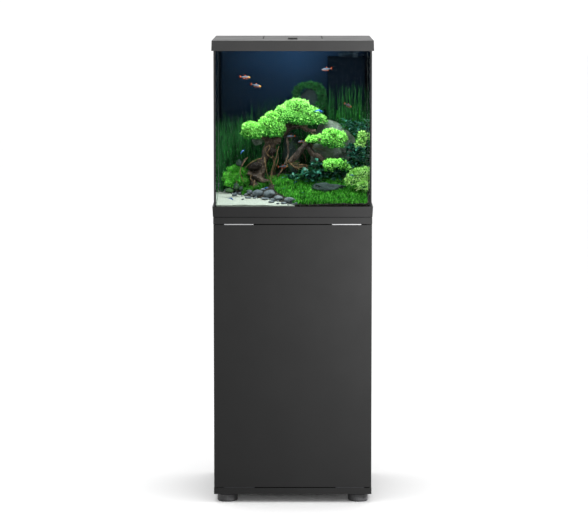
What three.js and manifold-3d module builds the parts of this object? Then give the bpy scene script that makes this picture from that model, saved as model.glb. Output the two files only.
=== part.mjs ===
// Aquarium on a one-door cabinet. Millimetres, +Z up, front is -Y.
// Origin: centre of the footprint, on the floor under the feet.
import * as THREE from 'three';
import { mergeVertices } from 'three/addons/utils/BufferGeometryUtils.js';
import Module from 'manifold-3d';

const wasm = await Module();
wasm.setup();

// ---------- driving dimensions ----------
const GAP = 0.3;              // clearance kept between touching pieces
const BOARD = 16;             // cabinet board thickness
const HALF = 202;             // half width of the cabinet boards
const FOOT_R = 26, FOOT_H = 22, FOOT_C = 168;
const BOTTOM_TOP = FOOT_H + BOARD;          // 38
const CAB_TOP = 735;                        // upper face of the cabinet top board
const TOP_UNDER = CAB_TOP - BOARD;          // 719
const DOOR_HALF = 200.5, DOOR_Z0 = 40.5, DOOR_Z1 = 716.5;
const DOOR_Y0 = -202, DOOR_Y1 = -186;
const SIDE_Y0 = -183, SIDE_Y1 = 198.7;
const SHELF_Z = 380;
const HINGE_X = -193.5, HINGE_Y = -195;     // door pivot axis
const LATCH_X = 150, LATCH_Y = -170;

const GLASS = 5, TANK_HALF = 200;           // glass thickness, outer half width of the tank
const FRAME_TOP = 763.4;                    // base frame upper edge
const GLASS_FLOOR = 744.5;                  // underside of the bottom pane
const FLOOR_T = 6;
const PANE_Z0 = GLASS_FLOOR + FLOOR_T + GAP;
const PANE_Z1 = 1165;                       // top of the glass
const LID_Z0 = 1158, LID_Z1 = 1184, LID_T = 3;
const LID_HALF_LOW = 205.5, LID_HALF_TOP = 204.7;
const FLAP_HALF = 75, FLAP_Y0 = -57, FLAP_Y1 = 190;
const FLAP_PIN_Y = 193.5, FLAP_PIN_Z = 1179.0;

const FX0 = 93, FX1 = 189.3, FY0 = 98, FY1 = 189.3, FZ0 = 751.2, FZ1 = 1130; // filter housing
const PUMP_X = 164, PUMP_Y = 128;
const HEAT_X = 117, HEAT_Y = 169;

// ---------- helpers ----------
function solid(geo) {
  const g = geo.clone();
  g.deleteAttribute('normal'); g.deleteAttribute('uv');
  let m = mergeVertices(g, 1e-4);
  return new wasm.Manifold(new wasm.Mesh({
    numProp: 3,
    vertProperties: new Float32Array(m.attributes.position.array),
    triVerts: new Uint32Array(m.index.array),
  }));
}
function geometry(man) {
  const mesh = man.getMesh();
  const g = new THREE.BufferGeometry();
  const pos = new Float32Array(mesh.numVert * 3);
  for (let i = 0; i < mesh.numVert; i++) for (let k = 0; k < 3; k++) pos[3 * i + k] = mesh.vertProperties[mesh.numProp * i + k];
  g.setAttribute('position', new THREE.BufferAttribute(pos, 3));
  g.setIndex(new THREE.BufferAttribute(new Uint32Array(mesh.triVerts), 1));
  const out = g.toNonIndexed();
  out.computeVertexNormals();
  return out;
}
const boxGeo = (x0, x1, y0, y1, z0, z1) =>
  new THREE.BoxGeometry(x1 - x0, y1 - y0, z1 - z0).translate((x0 + x1) / 2, (y0 + y1) / 2, (z0 + z1) / 2);
const box = (...a) => solid(boxGeo(...a));
// square-based prism that widens from half width h0 at z0 to h1 at z1
function taper(h0, h1, z0, z1) {
  const g = new THREE.CylinderGeometry(h1 * Math.SQRT2, h0 * Math.SQRT2, z1 - z0, 4, 1);
  g.rotateX(Math.PI / 2); g.rotateZ(Math.PI / 4); g.translate(0, 0, (z0 + z1) / 2);
  return solid(g);
}
function cylZ(r, x, y, z0, z1, seg = 20) {
  const g = new THREE.CylinderGeometry(r, r, z1 - z0, seg, 1);
  g.rotateX(Math.PI / 2); g.translate(x, y, (z0 + z1) / 2);
  return solid(g);
}
function cylX(r, x0, x1, y, z, seg = 16) {
  const g = new THREE.CylinderGeometry(r, r, x1 - x0, seg, 1);
  g.rotateZ(-Math.PI / 2); g.translate((x0 + x1) / 2, y, z);
  return solid(g);
}
function cylY(r, x, y0, y1, z, seg = 16) {
  const g = new THREE.CylinderGeometry(r, r, y1 - y0, seg, 1);
  g.translate(x, (y0 + y1) / 2, z);
  return solid(g);
}
function latheZ(profile, seg = 32) {           // profile: [r, z] pairs, axis +Z
  const g = new THREE.LatheGeometry(profile.map(([r, z]) => new THREE.Vector2(r, z)), seg);
  g.rotateX(Math.PI / 2);                       // lathe axis Y -> Z
  return g;
}
const group = new THREE.Group();
group.name = 'aquarium_on_stand';
const palette = {
  carcass: [0x3c3c3e, 0.45, 0.0], foot: [0x35383b, 0.35, 0.1], metal: [0xb9bbbe, 0.3, 0.9],
  bush: [0xd8d8d4, 0.5, 0.0], plastic: [0x4a4a4c, 0.45, 0.0], glass: [0xcfe2e4, 0.05, 0.0],
  silicone: [0x2a2d30, 0.4, 0.0], film: [0x12304c, 0.5, 0.0], black: [0x121314, 0.5, 0.0],
  diffuser: [0xf4f6f8, 0.4, 0.0], sponge: [0x2b3f5a, 0.95, 0.0], carbon: [0x22252a, 0.95, 0.0],
  ceramic: [0xe8e8e2, 0.4, 0.0], soil: [0x3a2c20, 0.95, 0.0], sand: [0xe2e0d4, 0.9, 0.0],
  rock: [0x5a5d5e, 0.85, 0.0], slate: [0x3a3f44, 0.75, 0.0], wood: [0x4a3020, 0.8, 0.0],
  moss: [0x4f9a1e, 0.8, 0.0], plant: [0x2c6a1c, 0.8, 0.0], carpet: [0x5fae2c, 0.8, 0.0],
};
function add(name, shape, look) {
  const geo = shape instanceof THREE.BufferGeometry ? shape : geometry(shape);
  const [color, roughness, metalness] = palette[look];
  const mesh = new THREE.Mesh(geo, new THREE.MeshStandardMaterial({ color, roughness, metalness }));
  mesh.name = name;
  group.add(mesh);
  return mesh;
}

// ================= CABINET =================
const footProfile = [[0, 0], [22.8, 0], [25.3, 1.5], [FOOT_R, 4], [FOOT_R, FOOT_H - 3.6], [24.4, FOOT_H - 2.8], [24.4, FOOT_H], [0, FOOT_H]];
for (const [name, sx, sy] of [['foot_front_left', -1, -1], ['foot_front_right', 1, -1], ['foot_rear_left', -1, 1], ['foot_rear_right', 1, 1]]) {
  add(name, latheZ(footProfile, 28), 'foot').position.set(sx * FOOT_C, sy * FOOT_C, 0);
}

const BUSH_R = 3.5, BUSH_BORE = 2.3, BUSH_HOLE = 3.85;
add('bottom_board', box(-HALF, HALF, -HALF, HALF, FOOT_H + GAP, BOTTOM_TOP)
  .subtract(cylZ(BUSH_HOLE, HINGE_X, HINGE_Y, BOTTOM_TOP - 10.5, BOTTOM_TOP + 5)), 'carcass');
add('top_board', box(-HALF, HALF, -HALF, HALF, TOP_UNDER, CAB_TOP)
  .subtract(cylZ(BUSH_HOLE, HINGE_X, HINGE_Y, TOP_UNDER - 5, TOP_UNDER + 10.5)), 'carcass');

const CLEAT_Z0 = SHELF_Z - BOARD / 2 - 22;
function sidePanel(s) {
  return box(s < 0 ? -HALF : HALF - BOARD, s < 0 ? -HALF + BOARD : HALF, SIDE_Y0, SIDE_Y1, BOTTOM_TOP + GAP, TOP_UNDER - GAP);
}
add('side_panel_left', sidePanel(-1), 'carcass');
add('side_panel_right', sidePanel(1), 'carcass');
add('back_panel', box(-HALF, HALF, 199, HALF, BOTTOM_TOP + GAP, TOP_UNDER - GAP)
  .subtract(cylY(30, 120, 190, 210, 640, 28)), 'carcass');
add('shelf', box(-185.2, 185.2, -172, 192, SHELF_Z - BOARD / 2, SHELF_Z + BOARD / 2), 'carcass');
// cleats screwed to the side panels carry the shelf
add('shelf_cleat_left', box(-HALF + BOARD + GAP, -HALF + BOARD + 12, -160, 180, CLEAT_Z0, SHELF_Z - BOARD / 2 - GAP), 'carcass');
add('shelf_cleat_right', box(HALF - BOARD - 12, HALF - BOARD - GAP, -160, 180, CLEAT_Z0, SHELF_Z - BOARD / 2 - GAP), 'carcass');

// door with its hinge pins, edge strips and latch strike
add('door', box(-DOOR_HALF, DOOR_HALF, DOOR_Y0, DOOR_Y1, DOOR_Z0, DOOR_Z1), 'carcass');
const plate = (z0, z1, p0, p1) => box(HINGE_X - 5, HINGE_X + 16.5, HINGE_Y - 5, HINGE_Y + 7, z0, z1).add(cylZ(2, HINGE_X, HINGE_Y, p0, p1, 16));
add('hinge_plate_top', plate(DOOR_Z1 + GAP, DOOR_Z1 + 1.6, DOOR_Z1 + 1, TOP_UNDER + 9), 'metal');
add('hinge_plate_bottom', plate(DOOR_Z0 - 1.6, DOOR_Z0 - GAP, BOTTOM_TOP - 9, DOOR_Z0 - 1), 'metal');
const bush = (z0) => {
  const m = add(z0 > 400 ? 'hinge_bush_top' : 'hinge_bush_bottom', latheZ([[BUSH_BORE, 0], [BUSH_R, 0], [BUSH_R, 9.8], [BUSH_BORE, 9.8], [BUSH_BORE, 0]], 20), 'bush');
  m.position.set(HINGE_X, HINGE_Y, z0);
};
bush(TOP_UNDER + 0.4); bush(BOTTOM_TOP - 10.2);
const strip = (x0, x1, z0, z1) => box(x0, x1, DOOR_Y0 + 0.4, DOOR_Y0 + 11, z0, z1);
add('edge_strip_top_left', strip(-174, -100, DOOR_Z1 + GAP, DOOR_Z1 + 2.2), 'metal');
add('edge_strip_top_right', strip(100, 174, DOOR_Z1 + GAP, DOOR_Z1 + 2.2), 'metal');
add('edge_strip_bottom_left', strip(-176, -98, DOOR_Z0 - 2.1, DOOR_Z0 - GAP), 'metal');
add('edge_strip_bottom_right', strip(110, 183, DOOR_Z0 - 2.1, DOOR_Z0 - GAP), 'metal');

// push latch under the top board: body with a blind bore, and a sprung plunger
const LATCH_Z = TOP_UNDER - 10;
add('latch_body', box(LATCH_X - 9, LATCH_X + 9, LATCH_Y, LATCH_Y + 62, TOP_UNDER - GAP - 17, TOP_UNDER - GAP)
  .subtract(cylY(4.4, LATCH_X, LATCH_Y - 5, LATCH_Y + 40, LATCH_Z, 20)), 'bush');
add('latch_plunger', cylY(4, LATCH_X, -184.1, LATCH_Y + 34, LATCH_Z, 20).add(cylY(5.5, LATCH_X, -184.1, -181.2, LATCH_Z, 20)), 'bush');
add('latch_strike', box(LATCH_X - 12, LATCH_X + 12, DOOR_Y1 + GAP, DOOR_Y1 + 1.5, LATCH_Z - 8, LATCH_Z + 5.5), 'metal');

// ================= TANK =================
add('base_frame', box(-199, 199, -199, 199, CAB_TOP + GAP, 738)
  .add(taper(202.6, 204, 737.3, FRAME_TOP))
  .subtract(box(-200.9, 200.9, -200.9, 200.9, GLASS_FLOOR - GAP, FRAME_TOP + 5))
  .subtract(box(-184, 184, -184, 184, 730, 750)), 'plastic');
add('glass_bottom', boxGeo(-TANK_HALF, TANK_HALF, -TANK_HALF, TANK_HALF, GLASS_FLOOR, GLASS_FLOOR + FLOOR_T), 'glass');
add('glass_front', boxGeo(-TANK_HALF, TANK_HALF, -TANK_HALF, -TANK_HALF + GLASS, PANE_Z0, PANE_Z1), 'glass');
add('glass_back', boxGeo(-TANK_HALF, TANK_HALF, TANK_HALF - GLASS, TANK_HALF, PANE_Z0, PANE_Z1), 'glass');
const SIDE_HALF = 193.4;
add('glass_left', boxGeo(-TANK_HALF, -TANK_HALF + GLASS, -SIDE_HALF, SIDE_HALF, PANE_Z0, PANE_Z1), 'glass');
add('glass_right', boxGeo(TANK_HALF - GLASS, TANK_HALF, -SIDE_HALF, SIDE_HALF, PANE_Z0, PANE_Z1), 'glass');

// silicone: a joint layer and a corner bead at each upright edge, joined by beads along the floor
const IN = TANK_HALF - GLASS - GAP;           // 194.7
function bead(len, place) {                    // right-angled triangular bead along +Z
  const s = new THREE.Shape([new THREE.Vector2(0, 0), new THREE.Vector2(5, 0), new THREE.Vector2(0, 5)]);
  const g = new THREE.ExtrudeGeometry(s, { depth: len, bevelEnabled: false, steps: 1 });
  place(g);
  return solid(g);
}
let seal = null;
const join = (m) => { seal = seal ? seal.add(m) : m; };
for (const [sx, sy, rot] of [[-1, -1, 0], [1, -1, Math.PI / 2], [1, 1, Math.PI], [-1, 1, -Math.PI / 2]]) {
  join(bead(PANE_Z1 - 2 - PANE_Z0 - GAP, (g) => { g.rotateZ(rot); g.translate(sx * IN, sy * IN, PANE_Z0 + GAP); }));
  join(box(sx < 0 ? -199.8 : IN - 1, sx < 0 ? -IN + 1 : 199.8, sy < 0 ? -IN : SIDE_HALF + GAP, sy < 0 ? -SIDE_HALF - GAP : IN, PANE_Z0 + GAP, PANE_Z1 - 2));
}
const zb = PANE_Z0 + GAP;
join(box(-IN, IN, -IN, IN, zb, zb + 4).subtract(taper(189.2, 194.1, zb - 0.5, zb + 4.5)));
add('silicone_seal', seal, 'silicone');
add('background_film', boxGeo(-199, 199, TANK_HALF + GAP, TANK_HALF + 0.8, FRAME_TOP + 0.6, PANE_Z1 - 6), 'film');

// ================= LID =================
const SCOOP_Y = -112;
const scoop = (() => {                         // thumb scoop in front of the flap
  const s = new THREE.Shape();
  s.moveTo(-13, FLAP_Y0 + 2); s.lineTo(-13, SCOOP_Y + 13);
  s.absarc(0, SCOOP_Y + 13, 13, Math.PI, 2 * Math.PI, false);
  s.lineTo(13, FLAP_Y0 + 2); s.closePath();
  const g = new THREE.ExtrudeGeometry(s, { depth: 10, bevelEnabled: false, curveSegments: 8 });
  g.translate(0, 0, LID_Z1 - 6);
  return solid(g);
})();
const scoopTray = (() => {                     // its floor, 2 mm under the cut
  const s = new THREE.Shape();
  s.moveTo(-15.5, FLAP_Y0 - 0.4); s.lineTo(-15.5, SCOOP_Y + 13);
  s.absarc(0, SCOOP_Y + 13, 15.5, Math.PI, 2 * Math.PI, false);
  s.lineTo(15.5, FLAP_Y0 - 0.4); s.closePath();
  const g = new THREE.ExtrudeGeometry(s, { depth: 7, bevelEnabled: false, curveSegments: 8 });
  g.translate(0, 0, LID_Z1 - 8);
  return solid(g);
})();
let cover = taper(LID_HALF_LOW, LID_HALF_TOP, LID_Z0, LID_Z1)
  .subtract(box(-202, 202, -202, 202, LID_Z0 - 5, LID_Z1 - LID_T));
for (const y of [-150, 0, 150]) for (const s of [-1, 1]) cover = cover.add(box(s < 0 ? -203 : 192, s < 0 ? -192 : 203, y - 2, y + 2, PANE_Z1 + GAP, LID_Z1 - 1));
for (const x of [-150, 0, 150]) cover = cover.add(box(x - 2, x + 2, -203, -192, PANE_Z1 + GAP, LID_Z1 - 1));
for (const x of [-150, 150]) cover = cover.add(box(x - 2, x + 2, 192, 203, PANE_Z1 + GAP, LID_Z1 - 1));
// ears that hold the flap's pin
for (const s of [-1, 1]) cover = cover.add(box(s < 0 ? -82 : 76.2, s < 0 ? -76.2 : 82, 187.5, 203, FLAP_PIN_Z - 6, LID_Z1 - 1));
cover = cover.subtract(box(-FLAP_HALF - 0.9, FLAP_HALF + 0.9, FLAP_Y0 - 0.9, 201, LID_Z1 - 12, LID_Z1 + 5))
  .add(scoopTray).subtract(scoop)
  .subtract(cylX(1.85, -81, 81, FLAP_PIN_Y, FLAP_PIN_Z, 16))
  .subtract(box(150, 162, 180, 210, LID_Z0 - 5, LID_Z0 + 9));   // cable notch in the rear skirt
add('lid_cover', cover, 'plastic');

const flap = box(-FLAP_HALF, FLAP_HALF, FLAP_Y0, FLAP_Y1, LID_Z1 - LID_T, LID_Z1)
  .add(box(-12, 12, FLAP_Y0, FLAP_Y0 + 3, LID_Z1 - 1, LID_Z1 + 2.6))             // grip lip
  .add(box(-FLAP_HALF + 6, -FLAP_HALF + 8.5, FLAP_Y0 + 6, FLAP_Y1 - 8, LID_Z1 - 7, LID_Z1 - 1))
  .add(box(FLAP_HALF - 8.5, FLAP_HALF - 6, FLAP_Y0 + 6, FLAP_Y1 - 8, LID_Z1 - 7, LID_Z1 - 1))
  .add(cylX(4.4, -FLAP_HALF, FLAP_HALF, FLAP_PIN_Y, FLAP_PIN_Z, 20))
  .add(box(-FLAP_HALF, FLAP_HALF, FLAP_Y1 - 6, FLAP_PIN_Y, LID_Z1 - LID_T, LID_Z1 - 0.6))
  .subtract(cylX(1.85, -90, 90, FLAP_PIN_Y, FLAP_PIN_Z, 16));
add('lid_flap', flap, 'plastic');
add('flap_pin', cylX(1.5, -80.5, 80.5, FLAP_PIN_Y, FLAP_PIN_Z, 16), 'metal');

const BAR_Y0 = -162, BAR_Y1 = -128, BAR_Z0 = 1170, BAR_Z1 = LID_Z1 - LID_T - GAP;
add('light_bar', box(-165, 165, BAR_Y0, BAR_Y1, BAR_Z0, BAR_Z1).subtract(box(-161, 161, BAR_Y0 + 4, BAR_Y1 - 4, 1160, BAR_Z0 + 5)), 'metal');
add('light_diffuser', boxGeo(-160.6, 160.6, BAR_Y0 + 4.4, BAR_Y1 - 4.4, BAR_Z0 + 0.2, BAR_Z0 + 3.2), 'diffuser');

// ================= INTERNAL FILTER =================
let housing = box(FX0, FX1, FY0, FY1, FZ0, FZ1)
  .subtract(box(FX0 + 2.5, FX1 - 2.5, FY0 + 2.5, FY1 - 2.5, FZ0 + 3, FZ1 + 5))
  .add(box(FX0 + 48, FX0 + 50.5, FY0 + 1, FY1 - 1, FZ0 + 1, 1085));               // divider
const PUMP_Z0 = 1000, PUMP_Z1 = 1060;
housing = housing.add(box(FX0 + 49, FX1 - 1, FY0 + 1, FY1 - 1, PUMP_Z0 - 3.3, PUMP_Z0 - GAP))      // ledge under the pump, with its inlet
  .subtract(cylZ(11, PUMP_X, PUMP_Y, PUMP_Z0 - 8, PUMP_Z0 + 2, 20));
for (let i = 0; i < 7; i++) housing = housing.subtract(box(FX0 - 5, FX0 + 5, FY0 + 18, FY1 - 18, 1040 + i * 10, 1044 + i * 10));
for (let i = 0; i < 4; i++) housing = housing.subtract(box(FX0 - 5, FX0 + 5, FY0 + 18, FY1 - 18, 900 + i * 10, 904 + i * 10));
add('filter_housing', housing, 'black');
add('filter_sponge', boxGeo(FX0 + 3, FX0 + 47.5, FY0 + 3, FY0 + 56, FZ0 + 4, 985), 'sponge');
add('filter_media_pad', boxGeo(FX0 + 3, FX0 + 47.5, FY0 + 3, FY0 + 56, 986, 1024), 'carbon');
add('pump_body', box(PUMP_X - 19, PUMP_X + 22, PUMP_Y - 22, PUMP_Y + 24, PUMP_Z0 + 14, PUMP_Z1)
  .add(cylZ(17, PUMP_X, PUMP_Y, PUMP_Z0, PUMP_Z0 + 16, 28))
  .add(cylZ(7, PUMP_X, PUMP_Y, PUMP_Z1 - 1, 1128, 20))
  .subtract(cylZ(14, PUMP_X, PUMP_Y, PUMP_Z0 - 3, PUMP_Z0 + 12, 28))
  .subtract(cylZ(6, PUMP_X, PUMP_Y, PUMP_Z0 + 10, PUMP_Z0 + 42, 20))
  .subtract(cylZ(5, PUMP_X, PUMP_Y, PUMP_Z1 - 4, 1140, 20)), 'black');
let imp = cylZ(5.2, PUMP_X, PUMP_Y, PUMP_Z0 + 3, PUMP_Z0 + 40, 18);
for (let i = 0; i < 4; i++) {
  const b = new THREE.BoxGeometry(22, 1.6, 8); b.rotateZ(i * Math.PI / 4); b.translate(PUMP_X, PUMP_Y, PUMP_Z0 + 7);
  imp = imp.add(solid(b));
}
add('pump_impeller', imp, 'bush');
const spoutDir = Math.PI + 0.5;
let nozzle = cylZ(10, PUMP_X, PUMP_Y, 1110, 1146, 24);
const sp = new THREE.CylinderGeometry(6.5, 7.5, 46, 20, 1); sp.rotateZ(Math.PI / 2); sp.translate(23, 0, 0); sp.rotateZ(0);
const spo = sp.clone(); spo.rotateZ(spoutDir); spo.translate(PUMP_X, PUMP_Y, 1138.6);
const si = new THREE.CylinderGeometry(4.6, 4.6, 60, 20, 1); si.rotateZ(Math.PI / 2); si.translate(30, 0, 0); si.rotateZ(spoutDir); si.translate(PUMP_X, PUMP_Y, 1138.6);
nozzle = nozzle.add(solid(spo)).subtract(solid(si)).subtract(cylZ(7.4, PUMP_X, PUMP_Y, 1105, 1141, 20));
add('pump_nozzle', nozzle, 'black');
const HEATER_L = 315;
const heaterG = latheZ([[0, 0], [6, 1], [9.5, 4], [11, 9], [11, HEATER_L], [0, HEATER_L]], 22);
add('heater_tube', heaterG, 'glass').position.set(HEAT_X, HEAT_Y, FZ0 + 3.4);
let dial = cylZ(11.5, HEAT_X, HEAT_Y, 1070.4, 1078, 24).add(cylZ(9, HEAT_X, HEAT_Y, 1077, 1092, 24));
dial = dial.add(box(HEAT_X - 1.5, HEAT_X + 1.5, HEAT_Y - 9, HEAT_Y + 9, 1091, 1097));
add('heater_dial', dial, 'ceramic');

// ================= GROUND =================
// boundary between sand (front left) and planted soil (rear right)
const P1 = [-195, 62], BN = [0.787, 0.617];
const across = (x, y) => (x - P1[0]) * BN[0] + (y - P1[1]) * BN[1];
const smooth = (t) => { t = Math.min(1, Math.max(0, t)); return t * t * (3 - 2 * t); };
function ground(x, y) {
  const s = across(x, y);
  return 766 + 0.055 * (y + 190) + 1.2 * Math.sin(x * 0.021 + 1) * Math.cos(y * 0.017) + (s > 0 ? 3 + (22 * smooth(s / 70) + 34 * smooth(s / 400)) * smooth((y + 200) / 190) : 0);
}
function field(x0, x1, y0, y1, n, zb0, top) {   // closed block with a modelled upper face
  const g = new THREE.BoxGeometry(x1 - x0, y1 - y0, 100, n, n, 1);
  g.translate((x0 + x1) / 2, (y0 + y1) / 2, 0);
  const p = g.attributes.position;
  const low = typeof zb0 === 'function' ? zb0 : () => zb0;
  for (let i = 0; i < p.count; i++) p.setZ(i, (p.getZ(i) > 0 ? top : low)(p.getX(i), p.getY(i)));
  return solid(g);
}
const GH = 188.5, GZ = PANE_Z0 + 2;
const GN = 12;
const ground0 = field(-GH, GH, -GH, GH, GN, GZ, ground);
const half = (off, side, p = P1, n = BN) => {   // half space on one side of a boundary line
  const g = new THREE.BoxGeometry(1200, 1200, 600);
  g.translate(side * 600 + off, 0, 900);
  g.rotateZ(Math.atan2(n[1], n[0]));
  g.translate(p[0], p[1], 0);
  return solid(g);
};
const filterHole = box(FX0 - 1.5, 220, FY0 - 1.5, 220, 700, 1200);
const soil = ground0.subtract(half(0.25, -1)).subtract(filterHole);
const sand = ground0.subtract(half(-0.25, 1));
add('soil', soil, 'soil');
add('sand', sand, 'sand');

// ================= HARDSCAPE AND PLANTS =================
function blob(cx, cy, cz, rx, ry, rz, seed, rough = 0.14, detail = 2) {
  const g = new THREE.IcosahedronGeometry(1, detail);
  const p = g.attributes.position, v = new THREE.Vector3();
  for (let i = 0; i < p.count; i++) {
    v.fromBufferAttribute(p, i).normalize();
    const k = 1 + rough * (Math.sin(3.1 * v.x + seed) * Math.cos(2.7 * v.y - seed * 1.7) + 0.5 * Math.sin(5.3 * v.z + 2.3 * seed + 2 * v.x));
    p.setXYZ(i, cx + v.x * rx * k, cy + v.y * ry * k, cz + v.z * rz * k);
  }
  return solid(g);
}
const groundCut = field(-GH, GH, -GH, GH, GN, 600, (x, y) => ground(x, y) + 0.6);

// driftwood: one body of tapered limbs; each limb is [points], radius at start, radius at end
const limbs = [
  [[[-88, 14, 776], [-74, 16, 828], [-62, 20, 872], [-54, 20, 905], [-34, 20, 945], [-8, 20, 975]], 15, 9],
  [[[-62, 20, 868], [-34, 12, 876], [4, 4, 896], [35, 0, 907]], 9, 6],
  [[[35, 0, 907], [60, 0, 890], [80, 0, 868], [80, 0, 838]], 7, 4.5],
  [[[35, 0, 907], [12, -6, 884], [-12, -10, 860]], 6, 3.5],
  [[[35, 0, 905], [60, -2, 912], [88, -16, 916]], 6, 4],
  [[[-54, 20, 905], [-58, 10, 930], [-54, 4, 946]], 8, 5],
  [[[-62, 20, 872], [-86, 6, 905], [-102, -6, 936]], 8, 5],
  [[[-80, 16, 800], [-102, 0, 794], [-122, -12, 776]], 9, 4],
  [[[-80, 16, 800], [-64, -8, 792], [-52, -34, 772]], 8, 4],
];
function limb(pts, r0, r1, fat) {
  let m = null;
  for (let i = 0; i + 1 < pts.length; i++) {
    const a = new THREE.Vector3(...pts[i]), b = new THREE.Vector3(...pts[i + 1]);
    const t0 = i / (pts.length - 1), t1 = (i + 1) / (pts.length - 1);
    const ra = r0 + (r1 - r0) * t0 + fat, rb = r0 + (r1 - r0) * t1 + fat, len = a.distanceTo(b);
    const g = new THREE.CylinderGeometry(rb, ra, len + ra * 0.5, fat ? 6 : 7, 1);
    g.applyQuaternion(new THREE.Quaternion().setFromUnitVectors(new THREE.Vector3(0, 1, 0), b.clone().sub(a).normalize()));
    const c = a.clone().add(b).multiplyScalar(0.5);
    g.translate(c.x, c.y, c.z);
    m = m ? m.add(solid(g)) : solid(g);
  }
  return m;
}
const woodOf = (fat) => limbs.map(([p, a, b]) => limb(p, a, b, fat)).reduce((a, b) => a.add(b));
const wood = woodOf(0).subtract(groundCut);
const woodFat = woodOf(2.2);
add('driftwood', wood, 'wood');

const largest = (m) => m.decompose().sort((a, b) => b.volume() - a.volume())[0];
const rockR = largest(blob(108, 48, 886, 61, 33, 82, 1.3, 0.10).subtract(groundCut).subtract(filterHole).subtract(woodFat));
add('rock_right', rockR, 'rock');
const rockRFat = blob(108, 48, 886, 62, 34, 83, 1.3, 0.10);
const rockC = largest(blob(-4, 54, 880, 27, 20, 62, 2.1, 0.13).subtract(groundCut).subtract(woodFat).subtract(rockRFat));
add('rock_centre', rockC, 'slate');
const rockCFat = blob(-4, 54, 880, 28, 21, 63, 2.1, 0.13);
const slate = largest(blob(97, -84, 801, 52, 24, 14, 4.4, 0.12, 2).subtract(groundCut).subtract(woodFat));
add('slate_stone', slate, 'slate');
const slateFat = blob(97, -84, 801, 53, 25, 15, 4.4, 0.12, 2);

const cutAll = [woodFat, groundCut, rockRFat, rockCFat, slateFat, filterHole];
const taken = [...cutAll];
function plant(name, m, mfat, look) {
  for (const c of taken) m = m.subtract(c);
  add(name, largest(m), look);
  taken.push(mfat);
}
const pair = (...a) => { const b = [...a]; b[3] += 0.8; b[4] += 0.8; b[5] += 0.8; return [blob(...a), blob(...b)]; };
const crowns = [
  ['moss_crown_top', 24, 20, 992, 70, 52, 34, 0.4],
  ['moss_crown_middle', -48, 0, 957, 35, 28, 30, 1.1],
  ['moss_crown_left', -105, -8, 948, 28, 26, 25, 1.9],
  ['moss_crown_centre', 63, -2, 924, 31, 28, 19, 2.6],
  ['moss_crown_right', 113, -30, 927, 31, 26, 24, 3.1],
];
for (const [n, x, y, z, rx, ry, rz, seed] of crowns) {
  const [a, b] = pair(x, y, z, rx, ry, rz, seed, 0.09, 2);
  plant(n, a, b, 'moss');
}
{
  const [a, b] = pair(-152, 34, 818, 29, 30, 36, 5.2, 0.12, 2); plant('bush_left', a, b, 'plant');
}
// tall grass stands: blocks with a modelled crest
plant('grass_left', field(-184, -116, 96, 170, 5, 700, (x, y) => 925 + 26 * Math.sin(x * 0.06) + 10 * Math.cos(y * 0.05)),
  field(-184.8, -115.2, 95.2, 170.8, 5, 700, (x, y) => 927 + 26 * Math.sin(x * 0.06) + 10 * Math.cos(y * 0.05)), 'plant');
plant('grass_centre', field(-96, 70, 130, 176, 6, 700, (x, y) => 965 + 24 * Math.sin(x * 0.045) + 8 * Math.cos(y * 0.05)),
  field(-96.8, 70.8, 129.2, 176.8, 6, 700, (x, y) => 967 + 24 * Math.sin(x * 0.045) + 8 * Math.cos(y * 0.05)), 'plant');

// grass carpet over the front of the soil, cut clear of everything planted in it
const carpetTop = (x, y) => ground(x, y) + 9 + 2 * Math.sin(x * 0.09) * Math.cos(y * 0.08);
let carpet = field(-GH, GH, -GH, GH, GN, GZ, carpetTop)
  .subtract(groundCut).subtract(half(0, -1, [-79, 60], [0.948, 0.318])).subtract(half(4, -1)).subtract(box(-300, 300, 60, 300, 600, 1200));
for (const c of taken) if (c !== groundCut) carpet = carpet.subtract(c);
add('grass_carpet', largest(carpet), 'carpet');

export default group;
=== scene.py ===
import math
import random
import bpy
import bmesh
import numpy as np
from mathutils import Vector, Matrix, noise


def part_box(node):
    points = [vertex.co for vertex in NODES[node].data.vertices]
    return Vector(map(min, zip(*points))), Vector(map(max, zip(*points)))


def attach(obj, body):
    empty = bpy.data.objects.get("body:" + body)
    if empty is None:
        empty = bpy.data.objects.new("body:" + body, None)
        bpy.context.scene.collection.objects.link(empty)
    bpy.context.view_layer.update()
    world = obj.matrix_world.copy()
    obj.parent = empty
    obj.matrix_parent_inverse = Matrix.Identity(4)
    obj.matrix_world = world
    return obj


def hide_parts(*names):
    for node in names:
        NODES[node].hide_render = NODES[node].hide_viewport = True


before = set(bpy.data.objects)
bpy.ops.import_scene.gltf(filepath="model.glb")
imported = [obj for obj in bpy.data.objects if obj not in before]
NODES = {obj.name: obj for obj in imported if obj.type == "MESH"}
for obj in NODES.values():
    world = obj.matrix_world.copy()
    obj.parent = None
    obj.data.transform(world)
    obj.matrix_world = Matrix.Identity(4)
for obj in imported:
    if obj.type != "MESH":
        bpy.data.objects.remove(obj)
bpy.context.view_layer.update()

ROOT = "stand_and_tank"
scene = bpy.context.scene

# ------------------------------------------------------------------ camera
cam_data = bpy.data.cameras.new("camera")
cam_data.sensor_width = 36.0
cam_data.lens = 162.4
cam_data.shift_y = -0.0593
cam_data.clip_start, cam_data.clip_end = 0.1, 60
cam = bpy.data.objects.new("camera", cam_data)
scene.collection.objects.link(cam)
cam.location = (0.0033, -6.9047, 1.406)
cam.rotation_euler = (math.radians(90) - 0.1018, 0, 0)
scene.camera = cam

# ------------------------------------------------------------------ look
scene.view_settings.view_transform = "Standard"
scene.view_settings.look = "None"
scene.view_settings.exposure = 0.0

world = bpy.data.worlds.new("studio")
scene.world = world
world.use_nodes = True
wt = world.node_tree
wt.nodes.clear()
w_out = wt.nodes.new("ShaderNodeOutputWorld")
w_bg = wt.nodes.new("ShaderNodeBackground")
w_bg.inputs["Color"].default_value = (1, 1, 1, 1)
w_bg.inputs["Strength"].default_value = 1.08
wt.links.new(w_bg.outputs[0], w_out.inputs[0])


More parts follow.
